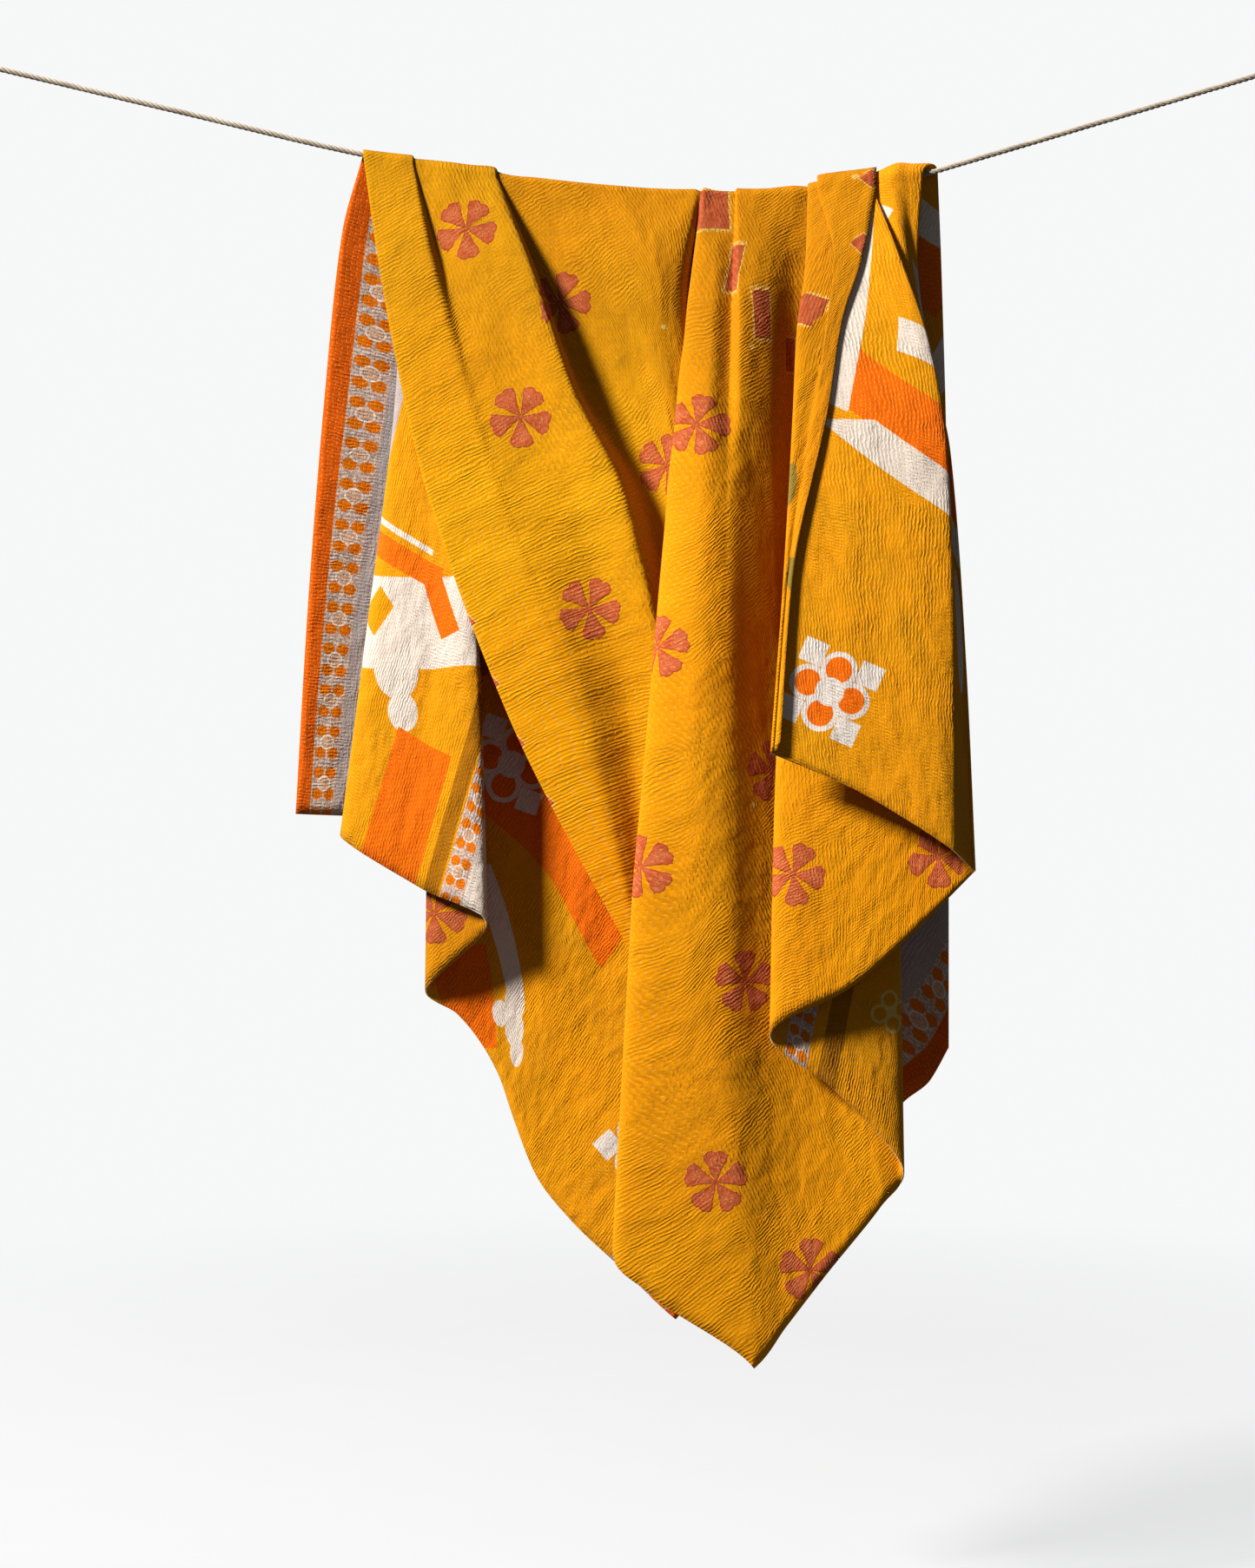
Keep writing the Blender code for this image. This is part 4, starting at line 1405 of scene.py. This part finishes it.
@dataclass
class Quilt:
    """The quilt: one closed sheet with its two faces and its pale rim.

    full_from is the share of the hang at which the sheet has its full thickness. A mark's frame is
    read between rows and columns that are rows_beside and columns_beside steps from its place.
    """

    grid: ClothGrid
    thick: float = 2.0
    pressed: float = 1.0
    full_from: float = 0.3
    mark_reach: float = 2.2
    rows_beside: int = 4
    columns_beside: int = 7

    def build(self) -> bpy.types.Object:
        """Makes the sheet and dresses it.

        Returns:
            The quilt's object.
        """
        self.grid.press_creases()
        points, cells, rim = self.closed_sheet()
        count = len(points) // 2
        faces = np.concatenate([cells, cells[:, ::-1] + count, rim])
        places = points * MM + HANG_ORIGIN
        quilt = new_piece("stitched_quilt", places, faces)
        quilting = Quilting()
        for surface in (FirstFace(quilting).dress(), SecondFace(quilting).dress(), EdgeCloth().dress()):
            quilt.data.materials.append(surface)
        slots = np.repeat([0, 1, 2], [len(cells), len(cells), len(rim)]).astype(np.int32)
        quilt.data.polygons.foreach_set("material_index", slots)
        self.map_cloth(quilt, faces, count)
        self.place_marks(quilt, cells, len(rim))
        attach(quilt, "root")
        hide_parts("quilt")
        return quilt

    def row_thickness(self) -> np.ndarray:
        """The sheet's thickness in each row: pressed over the rope, and full further down.

        Returns:
            One thickness in millimetres for each row.
        """
        shares = [0.0, self.full_from, 1.0]
        sizes = [self.pressed, self.thick, self.thick]
        front = np.interp(self.grid.row_shares(Side.FRONT)[::-1], shares, sizes)
        back = np.interp(self.grid.row_shares(Side.BACK), shares, sizes)
        return np.concatenate([front, np.full(self.grid.crest_steps + 1, self.pressed), back])

    def closed_sheet(self) -> tuple[np.ndarray, np.ndarray, np.ndarray]:
        """The two faces half a thickness to either side of the middle surface, joined by a rim.

        Returns:
            The points of the first and then the second face, the first face's triangles, two for
            each cell in turn, and the rim's triangles.
        """
        offset = self.grid.normals() * self.row_thickness()[:, None, None] / 2
        points = np.concatenate([(self.grid.points + offset).reshape(-1, 3),
                                 (self.grid.points - offset).reshape(-1, 3)])
        rows, columns = self.grid.points.shape[:2]
        index = np.arange(rows * columns).reshape(rows, columns)
        a, b, c, d = index[:-1, :-1], index[:-1, 1:], index[1:, 1:], index[1:, :-1]
        halves = [np.stack(corners, axis=-1) for corners in ((a, b, c), (a, c, d))]
        cells = np.stack(halves, axis=2).reshape(-1, 3)
        border = np.concatenate([index[0, :], index[1:, -1], index[-1, -2::-1], index[-2:0:-1, 0]])
        ahead = np.roll(border, -1)
        behind = rows * columns
        rim = np.concatenate([
            np.stack([border, border + behind, ahead + behind], axis=-1),
            np.stack([border, ahead + behind, ahead], axis=-1),
        ])
        return points, cells, rim

    def map_cloth(self, quilt: bpy.types.Object, faces: np.ndarray, count: int) -> None:
        """Puts the flat coordinates, in metres, on the quilt as its first UV map.

        Args:
            quilt: the quilt's object.
            faces: all of its triangles as point numbers.
            count: how many points each face of the cloth has.
        """
        flat = self.grid.flat.reshape(-1, 2)[faces.reshape(-1) % count] * MM
        layer = quilt.data.uv_layers.new(name="cloth")
        layer.data.foreach_set("uv", flat.ravel())

    def place_marks(self, quilt: bpy.types.Object, cells: np.ndarray, rim: int) -> None:
        """Gives every triangle the coordinates of the flower and the patch nearest to it.

        Args:
            quilt: the quilt's object.
            cells: the first face's triangles as point numbers.
            rim: how many triangles the rim has.
        """
        flowers, no_kind = self.nearest(FLOWERS, cells, 1.0, 0.8, False)
        patches, patch_kind = self.nearest(PATCHES + EDGE_CORNERS, cells, 1.0, 0.75, True)
        rosettes, rosette_kind = self.nearest(ROSETTES, cells[:, ::-1], -1.0, 0.8, False)
        edge = np.full((rim, 3, 2), FAR_AWAY)
        bare = np.full_like(patches, FAR_AWAY)
        for name, values in (("motif", (flowers, rosettes, edge)), ("patch", (patches, bare, edge))):
            layer = quilt.data.uv_layers.new(name=name)
            layer.data.foreach_set("uv", (np.concatenate(values) * MM).ravel())
        plain = np.zeros(rim, dtype=np.float32)
        kinds = {"motif_kind": (no_kind, rosette_kind, plain), "patch_kind": (patch_kind, no_kind, plain)}
        for name, values in kinds.items():
            stored = quilt.data.attributes.new(name, "FLOAT", "FACE")
            stored.data.foreach_set("value", np.concatenate(values))

    def nearest(self, marks: tuple, cells: np.ndarray, side: float, slack: float,
                in_halves: bool) -> tuple[np.ndarray, np.ndarray]:
        """Coordinates of each triangle's corners from the nearest mark, along the mark's axes.

        A triangle that is further from every mark than the mark reaches gets a far coordinate.

        Args:
            marks: the marks.
            cells: the first face's triangles as point numbers.
            side: 1 for the first face and -1 for the second.
            slack: how much further a mark reaches on the flat cloth than in space.
            in_halves: whether the coordinates are in half sizes and not in millimetres.

        Returns:
            The corners' coordinates and each triangle's kind.
        """
        flat = self.grid.flat.reshape(-1, 2)[cells].mean(axis=1)
        corners = self.grid.points.reshape(-1, 3)[cells]
        placed = [self.frame_at(mark, side) for mark in marks]
        axes = np.array([frame for frame, _ in placed])
        places = np.array([place for _, place in placed])
        centres = np.array([[mark.u, mark.v] for mark in marks])
        halves = np.array([[mark.half_width, mark.half_height] for mark in marks])
        reach = halves.max(axis=1)
        away = np.linalg.norm(corners.mean(axis=1)[:, None] - places, axis=-1) / reach
        along = np.linalg.norm(flat[:, None] - centres, axis=-1) / (reach * slack)
        away = np.maximum(away, along)
        chosen = away.argmin(axis=1)
        local = np.einsum("fij,fkj->fki", axes[chosen], corners - places[chosen][:, None])
        if in_halves:
            local = local / halves[chosen][:, None]
        local = np.where((away.min(axis=1) > self.mark_reach)[:, None, None], FAR_AWAY, local)
        kinds = np.array([mark.kind for mark in marks], dtype=np.float32)
        return local, kinds[chosen]

    def frame_at(self, mark: Mark, side: float) -> tuple[np.ndarray, np.ndarray]:
        """The two axes of a mark's drawing, in the surface and upright as it hangs, then turned.

        The second axis is as upright as it can be and the first one points to the right for
        someone who looks at that face. The turn is counter-clockwise for them.

        Args:
            mark: the mark.
            side: 1 for the first face and -1 for the second.

        Returns:
            The two axes, and the mark's place.
        """
        flat, points = self.grid.flat, self.grid.points
        middle = (flat[:-1, :-1] + flat[1:, 1:]) / 2
        away = np.linalg.norm(middle - [mark.u, mark.v], axis=-1)
        row, column = np.unravel_index(np.argmin(away), away.shape)
        top, low = max(row - self.rows_beside, 0), min(row + self.rows_beside + 1, len(flat) - 1)
        left = max(column - self.columns_beside, 0)
        right = min(column + self.columns_beside + 1, flat.shape[1] - 1)
        steps = np.stack([points[row, right] - points[row, left],
                          points[low, column] - points[top, column]], axis=-1)
        flat_steps = np.stack([flat[row, right] - flat[row, left],
                               flat[low, column] - flat[top, column]], axis=-1)
        beside = np.array([mark.u, mark.v]) - flat[row, column]
        place = points[row, column] + steps @ np.linalg.inv(flat_steps) @ beside
        outward = unit(np.cross(steps[:, 0], steps[:, 1])) * side
        upward = unit(np.array([0.0, 0.0, 1.0]) - outward * outward[2])
        across = np.cross(upward, outward)
        turn = math.radians(mark.turn)
        turned = np.array([[math.cos(turn), math.sin(turn)], [-math.sin(turn), math.cos(turn)]])
        return turned @ np.array([across, upward]), place


def tube(line: np.ndarray, across: np.ndarray, radii: np.ndarray,
         sides: int) -> tuple[np.ndarray, np.ndarray]:
    """A round tube along a line, closed at both ends: rings of points square to the line.

    Args:
        line: points of its middle line.
        across: a direction beside the line at each point, from which a ring starts.
        radii: the tube's radius at each point.
        sides: how many points a ring has.

    Returns:
        Its points, with the two end points last, and its triangles.
    """
    ahead = unit(np.gradient(line, axis=0))
    first = unit(across - ahead * np.sum(across * ahead, axis=-1, keepdims=True))
    second = np.cross(ahead, first)
    angles = np.arange(sides) * math.tau / sides
    ring = np.cos(angles)[:, None] * first[:, None] + np.sin(angles)[:, None] * second[:, None]
    points = (line[:, None] + ring * radii[:, None, None]).reshape(-1, 3)
    index = np.arange(len(line) * sides).reshape(len(line), sides)
    right = np.roll(index, -1, axis=1)
    a, b, c, d = index[:-1], right[:-1], right[1:], index[1:]
    wall = np.concatenate([np.stack([a, b, c], -1).reshape(-1, 3), np.stack([a, c, d], -1).reshape(-1, 3)])
    start, end = len(points), len(points) + 1
    caps = np.concatenate([
        np.stack([right[0], index[0], np.full(sides, start)], -1),
        np.stack([index[-1], right[-1], np.full(sides, end)], -1),
    ])
    return np.concatenate([points, line[[0, -1]]]), np.concatenate([wall, caps])


@dataclass
class TwistedLine:
    """A rope of three strands along a line: each strand is a tube on a helix about the line.

    route and across: points of the line, and a direction beside it at each. lay: the length of one
    turn of the helix. step: the distance between a strand's rings. All are in millimetres.
    """

    name: str
    route: np.ndarray
    across: np.ndarray
    radius: float = 3.0
    lay: float = 19.0
    step: float = 1.5
    sides: int = 10
    strands: int = 3

    def build(self, surface: bpy.types.Material) -> bpy.types.Object:
        """Makes the rope's mesh, with lengths along and turns round each strand as its UV map.

        Args:
            surface: its material.

        Returns:
            The rope's object.
        """
        strand = self.radius / (1 + 2 / math.sqrt(3))
        offset = self.radius - strand
        length = running_length(self.route)
        count = max(int(length[-1] / self.step), 8)
        even = np.linspace(0, length[-1], count + 1)
        line = np.stack([np.interp(even, length, self.route[:, k]) for k in range(3)], axis=-1)
        side = np.stack([np.interp(even, length, self.across[:, k]) for k in range(3)], axis=-1)
        ahead = unit(np.gradient(line, axis=0))
        first = unit(side - ahead * np.sum(side * ahead, axis=-1, keepdims=True))
        second = np.cross(ahead, first)
        points, faces, layers = [], [], []
        start = 0
        for number in range(self.strands):
            turn = math.tau * (even / self.lay + number / self.strands)
            away = np.cos(turn)[:, None] * first + np.sin(turn)[:, None] * second
            radii = np.full(count + 1, strand)
            radii[[0, -1]] = strand * 0.6
            part, triangles = tube(line + away * offset, away, radii, self.sides)
            points.append(part)
            faces.append(triangles + start)
            around = np.tile(np.arange(self.sides) / self.sides, count + 1)
            layers.append(np.concatenate([np.stack([np.repeat(even, self.sides), around * 3], -1),
                                          [[0.0, 0.0], [length[-1], 0.0]]]))
            start += len(part)
        faces = np.concatenate(faces)
        rope = new_piece(self.name, np.concatenate(points) * MM + HANG_ORIGIN, faces)
        rope.data.materials.append(surface)
        layer = rope.data.uv_layers.new(name="strand")
        layer.data.foreach_set("uv", (np.concatenate(layers)[faces.reshape(-1)] * MM).ravel())
        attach(rope, "root")
        return rope


@dataclass
class RopeLine:
    """The rope from knot to knot, its knots, its loops and the wall plates at its ends.

    Sizes are in millimetres, and length is the rope's own in metres. slopes: the rope's rise at its
    left and right ends.
    """

    rope_radius: float = 3.0
    knot_radius: float = 8.0
    knot_length: float = 16.0
    knot_wraps: int = 3
    knot_face: float = 656.0
    gap: float = 0.3
    plate_x: float = 706.0
    plate_thick: float = 4.0
    eye_radius: float = 10.0
    eye_wire: float = 2.5
    eye_sunk: float = 1.0
    loop_room: float = 1.0
    slopes: tuple = (-0.235, 0.30)
    length: float = 1.33
    path_steps: int = 133

    def build(self, nodes: dict) -> None:
        """Args:
            nodes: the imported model's nodes by name.
        """
        fibre = RopeFibre().dress()
        ends = self.knot_face - self.gap
        x = np.linspace(-ends, ends, 3 * self.path_steps + 1)
        route = np.stack([x, np.zeros_like(x), rope_height(x)], axis=-1)
        rope = TwistedLine("twisted_rope", route, np.tile([0.0, 1.0, 0.0], (len(x), 1))).build(fibre)
        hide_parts("rope")
        pieces = []
        for end, side, slope in (("left", -1.0, self.slopes[0]), ("right", 1.0, self.slopes[1])):
            knot = self.knot(end, side, slope, fibre)
            loop = self.loop(end, side, slope, fibre)
            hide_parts(f"knot_{end}")
            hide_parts(f"loop_{end}")
            pieces += [knot, loop]
        steel = PlateSteel().dress()
        for end in ("left", "right"):
            nodes[f"eye_plate_{end}"].data.materials[0] = steel

    def end_frame(self, side: float, slope: float) -> tuple[np.ndarray, np.ndarray]:
        """The knot's inner face and the rope's direction there, away from the cloth."""
        height = float(rope_height(np.array([side * self.knot_face]))[0])
        return np.array([side * self.knot_face, 0.0, height]), unit(np.array([side, 0.0, side * slope]))

    def knot(self, end: str, side: float, slope: float, fibre: bpy.types.Material) -> bpy.types.Object:
        """A knot: the rope's end wound round the line in close turns.

        Args:
            end: left or right.
            side: -1 for the left end and 1 for the right one.
            slope: the rope's rise there.
            fibre: the rope's material.

        Returns:
            The knot's object.
        """
        start, out = self.end_frame(side, slope)
        wire = self.knot_length / self.knot_wraps / 2
        turns = np.linspace(0, self.knot_wraps - 0.02, 90)
        first = np.array([0.0, 1.0, 0.0])
        second = np.cross(out, first)
        radial = np.cos(math.tau * turns)[:, None] * first + np.sin(math.tau * turns)[:, None] * second
        along = wire + turns / self.knot_wraps * (self.knot_length - 2 * wire)
        line = start + out * along[:, None] + radial * (self.knot_radius - wire)
        return TwistedLine(f"rope_knot_{end}", line, radial, wire, lay=15.0, step=1.3).build(fibre)

    def loop(self, end: str, side: float, slope: float, fibre: bpy.types.Material) -> bpy.types.Object:
        """The loop through the eye: two legs from the knot that meet behind the eye's rim.

        Args:
            end: left or right.
            side: -1 for the left end and 1 for the right one.
            slope: the rope's rise there.
            fibre: the rope's material.

        Returns:
            The loop's object.
        """
        face, out = self.end_frame(side, slope)
        start = face + out * (self.knot_length + self.gap)
        inner = self.plate_x - self.plate_thick + self.eye_sunk - 2 * self.eye_radius
        rim = np.array([side * inner, 0.0, face[2] + side * slope * (inner - self.knot_face)])
        bend = self.eye_wire + self.rope_radius + self.loop_room
        reach = float((rim - start) @ out)
        share = np.linspace(0, 1, 12, endpoint=False)
        close = self.rope_radius + self.gap
        leg = np.stack([share * reach, close + (bend - close) * share**1.5], axis=-1)
        angle = np.linspace(math.pi / 2, -math.pi / 2, 21)
        turn = np.stack([reach + bend * np.cos(angle), bend * np.sin(angle)], axis=-1)
        flat = np.concatenate([leg, turn, leg[::-1] * [1, -1]])
        line = start + out * flat[:, :1] + np.array([0.0, 1.0, 0.0]) * flat[:, 1:]
        upward = np.cross(out, [0.0, 1.0, 0.0])
        return TwistedLine(f"rope_loop_{end}", line, np.tile(upward, (len(line), 1))).build(fibre)


@dataclass
class Studio:
    """A plain pale floor, soft lights and the camera at the photograph's viewing angle.

    Places are in metres from HANG_ORIGIN. middle is the point that the lights look at.
    """

    eye: tuple = (0.0, -3.2, -0.613)
    lens: float = 88.57
    floor_middle: tuple = (0.0, 1.3, -1.492)
    floor_radius: float = 2.0
    floor_rings: int = 24
    floor_spokes: int = 72
    floor_glow: float = 0.66
    middle: tuple = (0.05, -0.05, -0.62)

    def build(self) -> None:
        """Makes the camera, the floor, the lights and the surroundings."""
        self.camera()
        self.floor()
        self.light("key_light", 56, 35, 8.0, 1.4, 1760.0, (1.0, 0.97, 0.92))
        self.light("fill_light", -10, 10, 4.0, 2.2, 4.0, (0.95, 0.97, 1.0))
        self.light("top_light", 10, 60, 3.2, 2.0, 2.0, (1.0, 1.0, 1.0))
        self.surroundings()

    def camera(self) -> None:
        """Makes the camera and sets it as the scene's own."""
        data = bpy.data.cameras.new("viewer")
        data.sensor_fit = "HORIZONTAL"
        data.sensor_width = 36.0
        data.lens = self.lens
        camera = bpy.data.objects.new("viewer", data)
        camera.location = Vector(self.eye) + Vector(HANG_ORIGIN)
        camera.rotation_euler = (math.pi / 2, 0.0, 0.0)
        bpy.context.scene.collection.objects.link(camera)
        bpy.context.scene.camera = camera

    def floor(self) -> None:
        """Makes a round pale floor, mostly behind the quilt, that fades out towards its rim.

        It is a disc of rings of points about its middle.
        """
        radii = np.linspace(0.0, self.floor_radius, self.floor_rings + 1)[1:]
        angles = np.arange(self.floor_spokes) * math.tau / self.floor_spokes
        ring = np.stack([np.cos(angles), np.sin(angles), np.zeros_like(angles)], axis=-1)
        centre = np.array(self.floor_middle) + HANG_ORIGIN
        points = np.concatenate([[centre], (centre + ring[None] * radii[:, None, None]).reshape(-1, 3)])
        index = 1 + np.arange(len(radii) * len(angles)).reshape(len(radii), len(angles))
        right = np.roll(index, -1, axis=1)
        wall = np.stack([index[:-1], index[1:], right[1:], right[:-1]], axis=-1).reshape(-1, 4)
        hub = np.stack([np.zeros(len(angles), dtype=int), index[0], right[0]], axis=-1)
        mesh = bpy.data.meshes.new("pale_floor")
        mesh.from_pydata(points.tolist(), [], [*hub.tolist(), *wall.tolist()])
        floor = bpy.data.objects.new("pale_floor", mesh)
        bpy.context.scene.collection.objects.link(floor)
        sketch = Sketch("pale_floor_paint")
        x, y, _ = sketch.placed()
        x, y = x - float(centre[0]) / MM, y - float(centre[1]) / MM
        away = x.length_with(y) * (MM / self.floor_radius)
        grain = sketch.noise(x * 0.01, y * 0.01, 1.0, detail=2)
        colour = sketch.mixed(linear((118, 120, 122)), linear((114, 116, 118)), grain + 0.5)
        sketch.finish(colour, 0.7, specular=0.2)
        sketch.shader.inputs["Emission Color"].default_value = (1.0, 1.0, 1.0, 1.0)
        sketch.shader.inputs["Emission Strength"].default_value = self.floor_glow
        sketch.tree.links.new(away.above(0.62, 0.7).taken_from(1.0).socket, sketch.shader.inputs["Alpha"])
        mesh.materials.append(sketch.material)

    def light(self, name: str, leftward: float, upward: float, distance: float, size: float,
              power: float, tint: tuple) -> None:
        """Makes an area light that looks at the quilt's middle.

        Args:
            name: the light's name.
            leftward: degrees to the left of the viewer's line.
            upward: degrees above the quilt's middle.
            distance: metres from the quilt's middle.
            size: the side of the lit square in metres.
            power: watts.
            tint: its colour.
        """
        data = bpy.data.lights.new(name, "AREA")
        data.size = size
        data.energy = power
        data.color = tint
        light = bpy.data.objects.new(name, data)
        turn, rise = math.radians(leftward), math.radians(upward)
        level = math.cos(rise)
        toward = Vector((-math.sin(turn) * level, -math.cos(turn) * level, math.sin(rise)))
        light.location = Vector(self.middle) + Vector(HANG_ORIGIN) + toward * distance
        light.rotation_euler = (-toward).to_track_quat("-Z", "Y").to_euler()
        bpy.context.scene.collection.objects.link(light)

    def surroundings(self) -> None:
        """A near-white world that shows bright behind the quilt and lights it more gently."""
        world = bpy.data.worlds.new("pale_room")
        world.use_nodes = True
        tree = world.node_tree
        shown = tree.nodes["Background"]
        shown.inputs["Color"].default_value = (0.93, 0.935, 0.935, 1.0)
        shown.inputs["Strength"].default_value = 1.0
        soft = tree.nodes.new("ShaderNodeBackground")
        soft.inputs["Color"].default_value = (0.93, 0.96, 1.0, 1.0)
        soft.inputs["Strength"].default_value = 0.07
        ray = tree.nodes.new("ShaderNodeLightPath")
        choice = tree.nodes.new("ShaderNodeMixShader")
        tree.links.new(ray.outputs["Is Camera Ray"], choice.inputs[0])
        tree.links.new(soft.outputs[0], choice.inputs[1])
        tree.links.new(shown.outputs[0], choice.inputs[2])
        tree.links.new(choice.outputs[0], tree.nodes["World Output"].inputs["Surface"])
        bpy.context.scene.world = world
        bpy.context.scene.view_settings.view_transform = "Standard"


def main() -> None:
    """Loads the frame, then makes the camera, the rope line and the quilt."""
    logging.basicConfig(level=logging.INFO, format="%(message)s")
    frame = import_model()
    Studio().build()
    LOG.info("studio: camera, floor and lights")
    RopeLine().build(frame["nodes"])
    LOG.info("rope line: rope, knots, loops and plates")
    quilt = Quilt(ClothGrid()).build()
    LOG.info("quilt: %d triangles", len(quilt.data.polygons))


if __name__ == "__main__":
    main()
